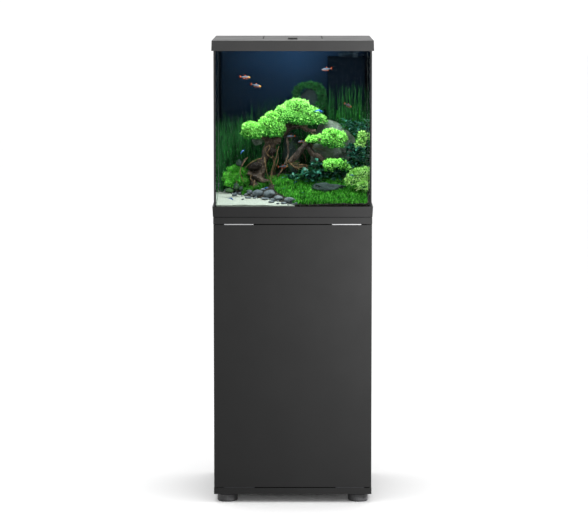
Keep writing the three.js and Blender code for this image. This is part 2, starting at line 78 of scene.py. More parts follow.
def area(name, loc, target, size, power, colour=(1, 1, 1), size_y=None):
    d = bpy.data.lights.new(name, "AREA")
    d.energy, d.color, d.size = power, colour, size
    if size_y:
        d.shape, d.size_y = "RECTANGLE", size_y
    o = bpy.data.objects.new(name, d)
    o.location = loc
    o.rotation_euler = (Vector(target) - Vector(loc)).to_track_quat("-Z", "Y").to_euler()
    scene.collection.objects.link(o)
    return o


KEY = area("key_right", (1.15, -0.95, 1.35), (0.1, -0.2, 0.75), 0.5, 80)
KEY_LOW = area("key_right_low", (0.85, -0.62, 0.76), (0.08, -0.2, 0.38), 0.5, 130)
FLOOR_SOFT = area("floor_soft", (0.0, -1.2, 2.6), (0.0, -0.9, 0.0), 2.4, 19)
FLOOR_LOW = area("floor_low", (0.0, -2.4, 0.42), (0.0, -0.15, 0.0), 1.5, 14, size_y=0.5)
area("top_soft", (0.2, 0.3, 3.2), (0, 0, 1.0), 1.6, 10)


# ------------------------------------------------------------------ node helpers
class Mat:
    """A small builder for node materials."""

    def __init__(self, name):
        self.m = bpy.data.materials.new(name)
        self.m.use_nodes = True
        self.t = self.m.node_tree
        self.t.nodes.clear()
        self.out = self.t.nodes.new("ShaderNodeOutputMaterial")
        self.b = self.t.nodes.new("ShaderNodeBsdfPrincipled")
        self.t.links.new(self.b.outputs[0], self.out.inputs[0])
        self.co = self.t.nodes.new("ShaderNodeTexCoord")

    def n(self, kind, **props):
        node = self.t.nodes.new(kind)
        for k, v in props.items():
            if k in node.inputs:
                node.inputs[k].default_value = v
            else:
                setattr(node, k, v)
        return node

    def link(self, a, b):
        self.t.links.new(a, b)

    def set(self, **k):
        for key, v in k.items():
            self.b.inputs[key.replace("_", " ")].default_value = v
        return self

    def coords(self, scale=(1, 1, 1)):
        m = self.n("ShaderNodeMapping")
        m.inputs["Scale"].default_value = scale
        self.link(self.co.outputs["Object"], m.inputs["Vector"])
        return m.outputs[0]

    def noise(self, scale, detail=3.0, rough=0.55, vec=None, distort=0.0):
        n = self.n("ShaderNodeTexNoise", Scale=scale, Detail=detail, Roughness=rough, Distortion=distort)
        self.link(vec if vec is not None else self.co.outputs["Object"], n.inputs["Vector"])
        return n.outputs["Fac"]

    def voronoi(self, scale, vec=None, out="Distance", feature="F1"):
        n = self.n("ShaderNodeTexVoronoi", feature=feature, Scale=scale)
        self.link(vec if vec is not None else self.co.outputs["Object"], n.inputs["Vector"])
        return n.outputs[out]

    def ramp(self, fac, stops, interp="LINEAR"):
        r = self.n("ShaderNodeValToRGB")
        r.color_ramp.interpolation = interp
        while len(r.color_ramp.elements) > len(stops):
            r.color_ramp.elements.remove(r.color_ramp.elements[-1])
        while len(r.color_ramp.elements) < len(stops):
            r.color_ramp.elements.new(0.5)
        for e, (p, c) in zip(r.color_ramp.elements, stops):
            e.position = p
            e.color = (*c[:3], 1) if not isinstance(c, (int, float)) else (c, c, c, 1)
        self.link(fac, r.inputs["Fac"])
        return r.outputs["Color"]

    def mix(self, fac, a, b, mode="MIX"):
        m = self.n("ShaderNodeMix", data_type="RGBA", blend_type=mode)
        for s, v in ((0, fac), (6, a), (7, b)):
            if isinstance(v, (int, float)):
                m.inputs[s].default_value = v
            elif isinstance(v, tuple):
                m.inputs[s].default_value = (*v[:3], 1)
            else:
                self.link(v, m.inputs[s])
        return m.outputs[2]

    def math(self, op, a, b=0.0, clamp=False):
        m = self.n("ShaderNodeMath", operation=op, use_clamp=clamp)
        for s, v in ((0, a), (1, b)):
            if isinstance(v, (int, float)):
                m.inputs[s].default_value = v
            else:
                self.link(v, m.inputs[s])
        return m.outputs[0]

    def bump(self, height, strength=0.3, dist=0.001, base=None):
        b = self.n("ShaderNodeBump", Strength=strength, Distance=dist)
        self.link(height, b.inputs["Height"])
        if base is not None:
            self.link(base, b.inputs["Normal"])
        return b.outputs[0]

    def colour(self, s):
        self.link(s, self.b.inputs["Base Color"])
        return self

    def rough(self, s):
        self.link(s, self.b.inputs["Roughness"])
        return self

    def normal(self, s):
        self.link(s, self.b.inputs["Normal"])
        return self


def satin(name, col, rough=0.42, grain=420.0, var=0.10, bump=0.10, spec=0.5, stretch=(1, 1, 1), metallic=0.0):
    """Moulded or foil-faced satin surface: fine grain, slight tone and gloss drift."""
    m = Mat(name)
    v = m.coords(stretch)
    big = m.noise(3.2, 3, 0.6)
    fine = m.noise(grain, 2, 0.5, v)
    lo = tuple(c * (1 - var) for c in col)
    hi = tuple(min(1, c * (1 + var)) for c in col)
    c1 = m.ramp(big, [(0.3, lo), (0.7, hi)])
    c2 = m.mix(0.18, c1, m.ramp(fine, [(0.35, tuple(c * 0.75 for c in col)), (0.65, tuple(min(1, c * 1.25) for c in col))]))
    m.colour(c2)
    m.rough(m.ramp(m.noise(14, 3, 0.6), [(0.3, rough - 0.04), (0.7, rough + 0.05)]))
    m.normal(m.bump(fine, bump, 0.0003))
    m.set(Metallic=metallic, Specular_IOR_Level=spec)
    return m.m


def use(node, mat):
    o = NODES[node] if isinstance(node, str) else node
    o.data.materials.clear()
    o.data.materials.append(mat)
    for s in o.material_slots:
        s.link = "OBJECT"
        s.material = mat
    return o


def bevel(node, width, segs=2, angle=40):
    o = NODES[node] if isinstance(node, str) else node
    b = o.modifiers.new("edge", "BEVEL")
    b.width, b.segments, b.limit_method, b.angle_limit = width, segs, "ANGLE", math.radians(angle)
    b.harden_normals = False
    return o


# ------------------------------------------------------------------ mesh helpers
MM = 0.001


def piece(name, verts, faces, mats, body=ROOT, replaces=(), smooth=True, index=None):
    """Makes a mesh piece from arrays in millimetres; faces is an (n, 3) or (n, 4) array, or a list of such arrays."""
    v = np.asarray(verts, np.float32).reshape(-1, 3) * MM
    groups = faces if isinstance(faces, list) else [faces]
    groups = [np.asarray(g, np.int32) for g in groups if len(g)]
    loops = np.concatenate([g.ravel() for g in groups])
    totals = np.concatenate([np.full(len(g), g.shape[1], np.int32) for g in groups])
    starts = np.concatenate([[0], np.cumsum(totals)[:-1]]).astype(np.int32)
    me = bpy.data.meshes.new(name)
    me.vertices.add(len(v))
    me.vertices.foreach_set("co", v.ravel())
    me.loops.add(len(loops))
    me.loops.foreach_set("vertex_index", loops)
    me.polygons.add(len(totals))
    me.polygons.foreach_set("loop_start", starts)
    me.polygons.foreach_set("loop_total", totals)
    me.polygons.foreach_set("use_smooth", np.full(len(totals), smooth))
    me.update(calc_edges=True)
    me.validate()
    for m in (mats if isinstance(mats, (list, tuple)) else [mats]):
        me.materials.append(m)
    if index is not None:
        me.polygons.foreach_set("material_index", np.asarray(index, np.int32))
    o = bpy.data.objects.new(name, me)
    scene.collection.objects.link(o)
    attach(o, body)
    if replaces:
        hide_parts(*replaces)
    return o


def fbm(p, scale, octaves=4, seed=0.0):
    out = np.zeros(len(p))
    amp, f = 1.0, scale
    for _ in range(octaves):
        out += amp * np.array([noise.noise(Vector((x * f + seed, y * f - seed, z * f + 0.37 * seed))) for x, y, z in p])
        amp *= 0.5
        f *= 2.03
    return out


# ------------------------------------------------------------------ ground
P1, BN = (-195.0, 62.0), (0.787, 0.617)


def across(x, y):
    return (x - P1[0]) * BN[0] + (y - P1[1]) * BN[1]


def sstep(t):
    t = np.clip(t, 0, 1)
    return t * t * (3 - 2 * t)


def ground(x, y):
    s = across(x, y)
    base = 766 + 0.055 * (y + 190) + 1.2 * np.sin(x * 0.021 + 1) * np.cos(y * 0.017)
    return base + 1.5 * (1 + np.tanh(s / 6)) + (22 * sstep(s / 70) + 34 * sstep(s / 400)) * sstep((y + 200) / 190)


def bed(name, keep_soil, mat, replaced, bump_fn, half=194.2, n=110, low=751.6):
    """Closed block of ground on one side of the sand line, with a fine modelled upper face."""
    xs = np.linspace(-half, half, n + 1)
    bm = bmesh.new()
    grid = []
    for j, y in enumerate(xs):
        row = []
        for i, x in enumerate(xs):
            row.append(bm.verts.new((x, y, float(ground(x, y)) + bump_fn(x, y))))
        grid.append(row)
    for j in range(n):
        for i in range(n):
            bm.faces.new((grid[j][i], grid[j][i + 1], grid[j + 1][i + 1], grid[j + 1][i]))
    edge = [grid[0][i] for i in range(n + 1)] + [grid[j][n] for j in range(1, n + 1)] + [grid[n][i] for i in range(n - 1, -1, -1)] + [grid[j][0] for j in range(n - 1, 0, -1)]
    lowv = [bm.verts.new((v.co.x, v.co.y, low)) for v in edge]
    k = len(edge)
    for i in range(k):
        bm.faces.new((edge[(i + 1) % k], edge[i], lowv[i], lowv[(i + 1) % k]))
    bm.faces.new(lowv[::-1])
    sign = 1 if keep_soil else -1
    off = 0.15 * sign
    geom = bm.verts[:] + bm.edges[:] + bm.faces[:]
    cut = bmesh.ops.bisect_plane(bm, geom=geom, plane_co=(P1[0] + BN[0] * off, P1[1] + BN[1] * off, 0), plane_no=(BN[0] * sign, BN[1] * sign, 0), clear_inner=True)
    edges = [e for e in bm.edges if e.is_boundary]
    if edges:
        bmesh.ops.triangle_fill(bm, use_beauty=True, edges=edges)
    if keep_soil:   # room for the filter in the rear right corner
        lo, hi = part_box("filter_housing")
        x0, y0 = lo.x * 1000 - 0.6, lo.y * 1000 - 0.6
        bmesh.ops.bisect_plane(bm, geom=bm.verts[:] + bm.edges[:] + bm.faces[:], plane_co=(x0, 0, 0), plane_no=(1, 0, 0))
        bmesh.ops.bisect_plane(bm, geom=bm.verts[:] + bm.edges[:] + bm.faces[:], plane_co=(0, y0, 0), plane_no=(0, 1, 0))
        gone = [f for f in bm.faces if f.calc_center_median().x > x0 + 0.01 and f.calc_center_median().y > y0 + 0.01]
        bmesh.ops.delete(bm, geom=gone, context="FACES")
        edges = [e for e in bm.edges if e.is_boundary]
        low_e, walls = [], []
        top = {}
        ex = bmesh.ops.extrude_edge_only(bm, edges=[e for e in edges if all(v.co.z > low + 1 for v in e.verts)])
        for g in ex["geom"]:
            if isinstance(g, bmesh.types.BMVert):
                g.co.z = low
        bmesh.ops.remove_doubles(bm, verts=bm.verts[:], dist=0.05)
    bmesh.ops.recalc_face_normals(bm, faces=bm.faces[:])
    for f in bm.faces:
        f.smooth = True
    bmesh.ops.scale(bm, vec=(MM, MM, MM), verts=bm.verts[:])
    me = bpy.data.meshes.new(name)
    bm.to_mesh(me)
    bm.free()
    me.materials.append(mat)
    me.set_sharp_from_angle(angle=math.radians(50))
    o = bpy.data.objects.new(name, me)
    scene.collection.objects.link(o)
    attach(o, ROOT)
    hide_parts(replaced)
    return o


m = Mat("sand_grains")
g1 = m.voronoi(900, out="Color")
g1v = m.n("ShaderNodeSeparateColor"); m.link(g1, g1v.inputs[0])
m.colour(m.mix(m.math("MULTIPLY", m.noise(9, 3), 0.5), m.ramp(g1v.outputs[0], [(0.0, (0.12, 0.13, 0.10)), (0.25, (0.22, 0.24, 0.20)), (0.7, (0.30, 0.325, 0.28)), (1.0, (0.42, 0.445, 0.39))]), (0.25, 0.275, 0.235)))
m.normal(m.bump(m.voronoi(900), 0.55, 0.0006))
m.set(Roughness=0.85, Specular_IOR_Level=0.2)
SAND = m.m

m = Mat("soil_granules")
v1 = m.voronoi(330, out="Color")
sv = m.n("ShaderNodeSeparateColor"); m.link(v1, sv.inputs[0])
m.colour(m.ramp(sv.outputs[0], [(0.0, (0.004, 0.004, 0.003)), (0.6, (0.010, 0.010, 0.007)), (1.0, (0.028, 0.022, 0.014))]))
m.normal(m.bump(m.voronoi(330), 0.8, 0.0015))
m.set(Roughness=0.9, Specular_IOR_Level=0.2)
SOIL = m.m

rng = np.random.default_rng(7)
ripple = lambda x, y: 0.5 * math.sin(0.11 * x + 0.05 * y) + 0.35 * noise.noise(Vector((x * 0.05, y * 0.05, 3.1))) + 0.25 * noise.noise(Vector((x * 0.3, y * 0.3, 1.7)))
bed("sand_bed", False, SAND, "sand", ripple)
bed("soil_bed", True, SOIL, "soil", lambda x, y: 1.4 * noise.noise(Vector((x * 0.06, y * 0.06, 9.1))) + 0.8 * noise.noise(Vector((x * 0.4, y * 0.4, 2.2))))


# ------------------------------------------------------------------ leaves
def green(name, dark, mid, light, scale=260, rough=0.55, spec=0.06, zlo=None, zhi=None):
    m = Mat(name)
    n1 = m.noise(scale, 2, 0.6)
    n2 = m.noise(28, 3, 0.6)
    f = m.math("ADD", m.math("MULTIPLY", n1, 0.6), m.math("MULTIPLY", n2, 0.4))
    col = m.ramp(f, [(0.34, dark), (0.5, mid), (0.66, light)])
    if zlo is not None:
        sep = m.n("ShaderNodeSeparateXYZ"); m.link(m.co.outputs["Object"], sep.inputs[0])
        mr = m.n("ShaderNodeMapRange")
        mr.inputs["From Min"].default_value, mr.inputs["From Max"].default_value = zlo, zhi
        m.link(sep.outputs["Z"], mr.inputs["Value"])
        col = m.mix(mr.outputs[0], m.mix(0.6, col, dark), col)
    m.colour(col)
    m.normal(m.bump(n1, 0.25, 0.0004))
    m.set(Roughness=rough, Specular_IOR_Level=spec)
    return m.m


# moss_green is the moss's own colour; the two lighter copies after it carry painted light for upper leaves, the darker
# copy painted shade for lower leaves, and moss_shaded is painted shade for the crown cores
MOSS = green("moss_green", (0.03, 0.16, 0.014), (0.145, 0.46, 0.07), (0.30, 0.72, 0.17), scale=150)
MOSS_LIT = green("moss_painted_lit", (0.14, 0.42, 0.06), (0.25, 0.62, 0.13), (0.42, 0.80, 0.23), scale=150)
MOSS_BRIGHT = green("moss_sunlit", (0.19, 0.60, 0.07), (0.31, 0.82, 0.14), (0.50, 0.95, 0.28), scale=150)
MOSS_LOW = green("moss_painted_shade", (0.005, 0.04, 0.004), (0.018, 0.15, 0.012), (0.05, 0.30, 0.03), scale=230)
MOSS_DIM = green("moss_shaded", (0.002, 0.012, 0.004), (0.008, 0.040, 0.014), (0.022, 0.085, 0.03))
CARPET = green("carpet_green", (0.001, 0.010, 0.001), (0.007, 0.085, 0.004), (0.035, 0.26, 0.014), scale=90)
# a lighter copy of the carpet green that carries painted light on the blades it is given to
CARPET_LIT = green("carpet_painted_lit", (0.012, 0.12, 0.006), (0.060, 0.38, 0.024), (0.18, 0.66, 0.08), scale=90)
BLADE = green("blade_green", (0.002, 0.016, 0.004), (0.007, 0.060, 0.012), (0.022, 0.14, 0.028), scale=90)
BLADE_DIM = green("blade_dim", (0.001, 0.008, 0.003), (0.003, 0.026, 0.007), (0.010, 0.060, 0.016), scale=90)
LEAF_DARK = green("leaf_teal", (0.002, 0.018, 0.012), (0.012, 0.075, 0.048), (0.05, 0.20, 0.135), scale=110, rough=0.35, spec=0.15)
LEAF_MID = green("leaf_mid", (0.012, 0.07, 0.010), (0.05, 0.21, 0.028), (0.17, 0.44, 0.09), scale=120, rough=0.4)
LEAF_YELLOW = green("leaf_yellow", (0.12, 0.30, 0.04), (0.34, 0.68, 0.15), (0.66, 0.92, 0.42), scale=160, rough=0.45)


def crown(name, lobes, density, length, width, mats, seed, replaces=(), lumps=0.10, up=0.3, shell=0.6, core=None, index_p=None, under=-0.5, droop=0.0, grade=None):
    """Leaves over a cluster of overlapping lobes, with a dark core of painted shade inside so that no gap shows
    through; with grade, the lowest leaves take the third material (painted shade) and the highest the second (painted
    light).
    """
    r = np.random.default_rng(seed)
    P, D = [], []
    for k, (cx, cy, cz, rx, ry, rz) in enumerate(lobes):
        area_ = (rx * ry + ry * rz + rx * rz) / 3
        count = int(density * area_ / 100)
        d = r.normal(size=(count, 3))
        d /= np.linalg.norm(d, axis=1)[:, None]
        low = d[:, 2] < under
        d[low, 2] *= -0.6
        d /= np.linalg.norm(d, axis=1)[:, None]
        lump = 1 + lumps * np.array([noise.noise(Vector(tuple(x * 3.1 + seed + k))) + 0.6 * noise.noise(Vector(tuple(x * 7.3 - seed))) for x in d])
        rad = (shell + (1 - shell) * r.random(count) ** 0.45) * lump
        p = np.array([cx, cy, cz]) + d * np.array([rx, ry, rz]) * rad[:, None]
        ok = np.ones(count, bool)
        for k2, (ax, ay, az, bx, by, bz) in enumerate(lobes):
            if k2 != k:
                q = (p - np.array([ax, ay, az])) / np.array([bx, by, bz])
                ok &= (q ** 2).sum(1) > 0.62
        P.append(p[ok]); D.append(d[ok])
    p, d = np.concatenate(P), np.concatenate(D)
    count = len(p)
    out = d + r.normal(scale=0.85, size=(count, 3))
    p = p + r.normal(scale=1.3, size=(count, 3))
    out[:, 2] += up
    out /= np.linalg.norm(out, axis=1)[:, None]
    side = np.cross(out, r.normal(size=(count, 3)))
    side /= np.linalg.norm(side, axis=1)[:, None]
    nor = np.cross(side, out)
    L = length * (0.6 + 0.8 * r.random(count))[:, None]
    W = width * (0.7 + 0.6 * r.random(count))[:, None]
    a = p
    b = p + out * L * 0.5 + side * W * 0.5 + nor * W * 0.22
    c = p + out * L - nor * droop * L
    e = p + out * L * 0.5 - side * W * 0.5 + nor * W * 0.22
    verts = np.stack([a, b, c, e], 1).reshape(-1, 3)
    verts[:, :2] = np.clip(verts[:, :2], -194.2, 194.2)
    i0 = np.arange(count) * 4
    faces = np.concatenate([np.stack([i0, i0 + 1, i0 + 2], 1), np.stack([i0, i0 + 2, i0 + 3], 1)])
    idx = None
    if isinstance(mats, (list, tuple)) and len(mats) > 1:
        ix = r.choice(len(mats), size=count, p=index_p)
        # painted light and shade by height: the lowest leaves of each lobe take the painted-shade material, the highest
        # the painted-lit one
        if grade:
            top_, bot_ = np.full(count, -1e9), np.full(count, 1e9)
            for (cx, cy, cz, rx, ry, rz) in lobes:
                q = 1 - ((p[:, 0] - cx) / (rx * 1.15)) ** 2
                h_ = rz * np.sqrt(np.clip(q, 0, 1))
                top_ = np.where(q > 0, np.maximum(top_, cz + h_), top_)
                bot_ = np.where(q > 0, np.minimum(bot_, cz - h_), bot_)
            rel = (p[:, 2] - (top_ + bot_) / 2) / np.maximum(4.0, (top_ - bot_) / 2)
            t = 0.15 * d[:, 2] + 0.85 * np.clip(rel, -1.2, 1.2) + 0.36 * r.normal(size=count)
            ix = np.where(t < grade[0], 2, np.where(t > grade[1], 1, ix))
        idx = np.concatenate([ix, ix])
    # the core: a dark ball of the core material inside each lobe, painted shade where only shade would show between the
    # leaves
    if core is not None:
        mats = list(mats) if isinstance(mats, (list, tuple)) else [mats]
        idx = np.zeros(len(faces), int) if idx is None else idx
        cv, cf = [], []
        off_ = len(verts)
        for (cx, cy, cz, rx, ry, rz) in lobes:
            v = BALL_V * np.array([rx, ry, rz]) * (shell + 0.02)
            n_ = np.array([1 + 0.12 * noise.noise(Vector(tuple(x * 2.2 + seed))) for x in BALL_V])
            cv.append(v * n_[:, None] + np.array([cx, cy, cz]))
            cf.append(BALL_F + off_)
            off_ += len(BALL_V)
        verts = np.concatenate([verts] + cv)
        verts[:, :2] = np.clip(verts[:, :2], -194.2, 194.2)
        cf = np.concatenate(cf)
        faces = np.concatenate([faces, cf])
        idx = np.concatenate([idx, np.full(len(cf), len(mats))])
        mats = mats + [core]
    return piece(name, verts, faces, mats, replaces=replaces, smooth=False, index=idx)


_b = bmesh.new()
bmesh.ops.create_icosphere(_b, subdivisions=2, radius=1)
BALL_V = np.array([v.co[:] for v in _b.verts])
BALL_F = np.array([[v.index for v in f_.verts] for f_ in _b.faces])
_b.free()

CROWN_TOP = [
    (10.9, 18, 1006.3, 33.1, 24.8, 22.1),
    (-20.5, 14, 990.8, 24.8, 18.6, 22.1),
    (39.8, 22, 987.8, 30.2, 22.7, 22.1),
    (66.1, 22, 972, 22.1, 16.5, 15.1),
    (-2.2, 6, 978.1, 35.7, 26.8, 19.2),
    (26.7, 14, 971.1, 35.8, 26.8, 16.5),
    (-36, 8, 972, 17, 13, 14),
]
CROWN_MID = [
    (-61.9, 0, 965.3, 21.9, 16.5, 21.9),
    (-41, 4, 952, 21.9, 16.5, 21.9),
    (-75, -4, 949.8, 19.2, 14.4, 19.2),
    (-51.5, 0, 939.1, 24.7, 18.5, 15.1),
    (-83, -2, 946, 15, 11, 12),
    (-69.6, -6, 966.9, 17, 13, 12),
    (-54, -2, 982.3, 17, 13, 13),
]
CROWN_LEFT = [
    (-109.7, -8, 954.3, 21.7, 16.3, 15),
    (-88.9, -4, 946.2, 21.7, 16.3, 19),
    (-120.2, -10, 938.7, 13.6, 10.2, 13.6),
    (-104.5, -10, 933.5, 21.7, 16.3, 13.6),
]
CROWN_CENTRE = [
    (54.1, -6, 921.2, 19, 14.2, 11.6),
    (75, 0, 920.8, 21.7, 16.3, 13.6),
    (93.3, -4, 913.2, 16.3, 12.3, 9.8),
]
CROWN_RIGHT = [
    (100.9, -26, 937.4, 23.9, 18, 14.6),
    (121.7, -30, 927.2, 18.6, 14, 18.6),
    (93, -34, 919.6, 18.6, 14, 13.8),
    (111.2, -32, 910.4, 21.2, 15.9, 10.6),
]
CROWN_LOW = [
    (99.1, -50, 861.3, 18.8, 16.1, 13.4),
    (119.7, -50, 858.7, 21.2, 18, 16.1),
    (135.6, -54, 852.5, 11.8, 10, 10.7),
    (94.5, -54, 848.6, 9.4, 8, 8),
]
BUSH_RIGHT = [
    (168.2, -110, 829.7, 23.1, 17.4, 20.6) ,
    (183.6, -112, 840.2, 10.3, 7.7, 15.4) ,
    (152.6, -116, 819.8, 15.4, 11.6, 15.4) ,
    (178.2, -124, 807.5, 12.8, 9.6, 15.4) ,
]
BUSH_RIGHT_TOP = [
    (179.6, -60, 927.4, 9.3, 7.0, 15.5) ,
    (174.4, -60, 911.8, 8.8, 6.6, 13.0) ,
]
BUSH_LEFT = [
    (-150.0, 30, 832.0, 19, 15.8, 14.0),
    (-135.5, 26, 826.0, 14.0, 11.8, 14.5),
    (-164.0, 26, 817.5, 16.5, 11.8, 15.0),
    (-142.0, 18, 808.0, 21.0, 13.8, 12.0),
    (-160.0, 14, 801.0, 17.0, 11.0, 8.0),
    (-126.0, 14, 801.0, 13.0, 10.0, 8.0),
]
ARCH = [
    (8.3, 118, 1032.9, 7.2, 5.4, 7.2),
    (15.4, 118, 1044.8, 8.1, 6.1, 6.7),
    (29.4, 118, 1052.8, 9.5, 7.2, 6.2),
    (45.7, 118, 1055.2, 9.5, 7.2, 6.2),
    (62.1, 118, 1051.4, 9.5, 7.2, 6.7),
    (73.8, 116, 1040.9, 8.1, 6.1, 8.1),
    (78.5, 114, 1022.4, 7.2, 5.4, 12),
    (73.8, 112, 1001.2, 9.5, 7.2, 12),
    (64.5, 108, 985.5, 12, 9, 12),
    (8.3, 118, 1022.2, 6.2, 4.7, 6.2),
]

# each crown mixes its own moss colour with a painted-lit copy and a painted-shade copy; the top crown takes one lit
# copy, the others a brighter lit copy to make up for the shade they sit in
for nm, lobes, rep, sd, share in [
    ("moss_canopy_top", CROWN_TOP, "moss_crown_top", 3, [0.44, 0.31, 0.25]),
    ("moss_canopy_middle", CROWN_MID, "moss_crown_middle", 5, [0.54, 0.28, 0.18]),
    ("moss_canopy_left", CROWN_LEFT, "moss_crown_left", 8, [0.50, 0.32, 0.18]),
    ("moss_canopy_centre", CROWN_CENTRE, "moss_crown_centre", 11, [0.24, 0.56, 0.20]),
    ("moss_canopy_right", CROWN_RIGHT, "moss_crown_right", 13, [0.44, 0.38, 0.18]),
    ("moss_canopy_low", CROWN_LOW, None, 17, [0.22, 0.60, 0.18]),
]:
    crown(nm, [(a, b, c - 3.5, d * 0.97, e * 0.97, f * 0.94) for a, b, c, d, e, f in lobes], 470, 4.2, 2.6, [MOSS, MOSS_LIT if nm.endswith("top") else MOSS_BRIGHT, MOSS_LOW], sd, replaces=(rep,) if rep else (), core=MOSS_DIM, index_p=share, shell=0.72, lumps=0.13, grade=(-0.27, 1.0))

# dim leafy arch over the dark stone at the back
crown("moss_arch_back", ARCH, 520, 7.5, 3.0, [MOSS_DIM, BLADE], 21, shell=0.25, index_p=[0.6, 0.4], lumps=0.5, up=0.1)
crown("bush_left_leaves", BUSH_LEFT, 330, 6.6, 3.0, [LEAF_MID, CARPET_LIT], 61, replaces=("bush_left",), up=0.7, shell=0.6, lumps=0.3, index_p=[0.35, 0.65], core=CARPET)
crown("bush_right_leaves", BUSH_RIGHT, 320, 6.8, 3.0, [LEAF_YELLOW, LEAF_MID], 63, up=0.6, shell=0.55, index_p=[0.7, 0.3], core=LEAF_DARK)
crown("bush_right_top_leaves", BUSH_RIGHT_TOP, 340, 6.6, 3.0, [LEAF_YELLOW, LEAF_MID], 64, up=0.6, shell=0.5, index_p=[0.6, 0.4], core=LEAF_DARK)


def blades(name, xy, z0, height, width, mats, seed, bend=0.25, segs=6, replaces=(), tip=0.15, lean=(0, 0), index_p=None):
    """Ribbon leaves that rise from the ground and bend over, each a tapered strip."""
    r = np.random.default_rng(seed)
    k = len(xy)
    h = height * (0.6 + 0.55 * r.random(k))
    ang = r.random(k) * 2 * np.pi
    dirx, diry = np.cos(ang) + lean[0], np.sin(ang) + lean[1]
    wx, wy = -np.sin(ang), np.cos(ang)
    tw = r.normal(scale=0.5, size=k)
    verts = np.zeros((k, segs + 1, 2, 3))
    for s in range(segs + 1):
        t = s / segs
        off = bend * h * (t ** 2) * (0.4 + 0.9 * (np.abs(tw)))
        cx = xy[:, 0] + dirx * off
        cy = xy[:, 1] + diry * off
        cz = z0 + h * (t - 0.18 * bend * t ** 3)
        w = width * (1 - (1 - tip) * t ** 1.6) * 0.5
        a2 = ang + tw * t * 1.2
        wx, wy = -np.sin(a2), np.cos(a2)
        verts[:, s, 0] = np.stack([cx - wx * w, cy - wy * w, cz], 1)
        verts[:, s, 1] = np.stack([cx + wx * w, cy + wy * w, cz], 1)
    base = (np.arange(k) * (segs + 1) * 2)[:, None]
    quads = []
    for s in range(segs):
        q = np.array([2 * s, 2 * s + 1, 2 * s + 3, 2 * s + 2])
        quads.append(base + q)
    faces = np.concatenate(quads)
    idx = None
    if isinstance(mats, (list, tuple)) and len(mats) > 1:
        ix = r.choice(len(mats), size=k, p=index_p)
        idx = np.concatenate([ix] * segs)
    flat = verts.reshape(-1, 3)
    flat[:, :2] = np.clip(flat[:, :2], -194.2, 194.2)
    return piece(name, flat, faces, mats, replaces=replaces, smooth=True, index=idx)


def scatter(n, test, seed, x=(-190, 190), y=(-190, 190)):
    r = np.random.default_rng(seed)
    pts = np.zeros((0, 2))
    while len(pts) < n:
        p = np.stack([r.uniform(*x, n), r.uniform(*y, n)], 1)
        pts = np.concatenate([pts, p[test(p[:, 0], p[:, 1])]])
    return pts[:n]


def in_carpet(x, y):
    edge = (x + 79) * 0.948 + (y - 60) * 0.318 + 5 * np.sin(x * 0.12 + y * 0.1)
    return (edge > 0) & (across(x, y) > 5) & (y < 75)


cp = scatter(13000, in_carpet, 31)
blades("carpet_front", cp, ground(cp[:, 0], cp[:, 1]) - 1, 13, 1.9, [CARPET, CARPET_LIT, LEAF_MID], 33, bend=0.5, segs=2, replaces=("grass_carpet",), index_p=[0.46, 0.44, 0.10])

tf = scatter(1500, lambda x, y: (across(x, y) > -2) & (np.hypot((x + 98) / 36, (y + 14) / 13) < 1), 35, (-140, -55), (-50, 2))
blades("tufts_left", tf, ground(tf[:, 0], tf[:, 1]) - 1, 17, 2.0, [CARPET, CARPET_LIT, LEAF_MID], 37, bend=0.55, segs=3, index_p=[0.55, 0.2, 0.25])
tb = scatter(900, lambda x, y: across(x, y) > 0, 39, (-138, -70), (24, 60))
blades("tufts_behind", tb, ground(tb[:, 0], tb[:, 1]) - 1, 62, 2.6, [BLADE, CARPET, LEAF_MID], 40, bend=0.5, segs=4, index_p=[0.6, 0.3, 0.1])
gl = scatter(620, lambda x, y: x < 1e9, 41, (-193.5, -118), (40, 172))
blades("tall_grass_left", gl, ground(gl[:, 0], gl[:, 1]) - 2, 150, 2.6, [BLADE, BLADE_DIM], 43, bend=0.14, segs=8, replaces=("grass_left",), index_p=[0.7, 0.3])
gc = scatter(420, lambda x, y: x < 1e9, 45, (-118, 96), (128, 178))
blades("tall_grass_centre", gc, ground(gc[:, 0], gc[:, 1]) - 2, 178, 2.6, [BLADE_DIM, BLADE], 47, bend=0.16, segs=8, replaces=("grass_centre",), index_p=[0.75, 0.25])
gr = scatter(340, lambda x, y: x < 1e9, 49, (92, 193.5), (82, 94))
blades("tall_grass_right", gr, ground(gr[:, 0], gr[:, 1]) - 2, 210, 1.9, [BLADE, BLADE_DIM, CARPET], 51, bend=0.10, segs=8, index_p=[0.45, 0.4, 0.15])


def big_leaves(name, spots, mats, seed, length=17, width=6.5, index_p=None):
    """Rosettes of broad pointed leaves on short stalks; each leaf is a curved strip with a raised midrib."""
    r = np.random.default_rng(seed)
    V, Fq, I = [], [], []
    segs = 4
    for (cx, cy, cz, n, spread) in spots:
        for _ in range(n):
            az, el = r.uniform(0, 2 * np.pi), r.uniform(0.15, 1.1)
            d = np.array([math.cos(az) * math.cos(el), math.sin(az) * math.cos(el), math.sin(el)])
            s_ = np.cross(d, [0, 0, 1.0]); s_ /= np.linalg.norm(s_) + 1e-9
            nn_ = np.cross(s_, d)
            L, W = length * r.uniform(0.65, 1.25), width * r.uniform(0.7, 1.2)
            base = np.array([cx, cy, cz]) + r.normal(scale=spread, size=3) * np.array([1, 0.7, 0.6])
            o_ = len(V)
            for k in range(segs + 1):
                t = k / segs
                c = base + d * L * t - np.array([0, 0, 1]) * L * 0.35 * t * t
                w = W * math.sin(math.pi * (0.08 + 0.9 * t)) ** 0.8 * 0.5
                V += [c - s_ * w + nn_ * w * 0.35, c, c + s_ * w + nn_ * w * 0.35]
            m_ = r.choice(len(mats), p=index_p)
            for k in range(segs):
                q = o_ + 3 * k
                Fq += [(q, q + 1, q + 4, q + 3), (q + 1, q + 2, q + 5, q + 4)]
                I += [m_, m_]
    V = np.array(V)
    V[:, :2] = np.clip(V[:, :2], -194.2, 194.2)
    return piece(name, V, np.array(Fq), mats, index=I)


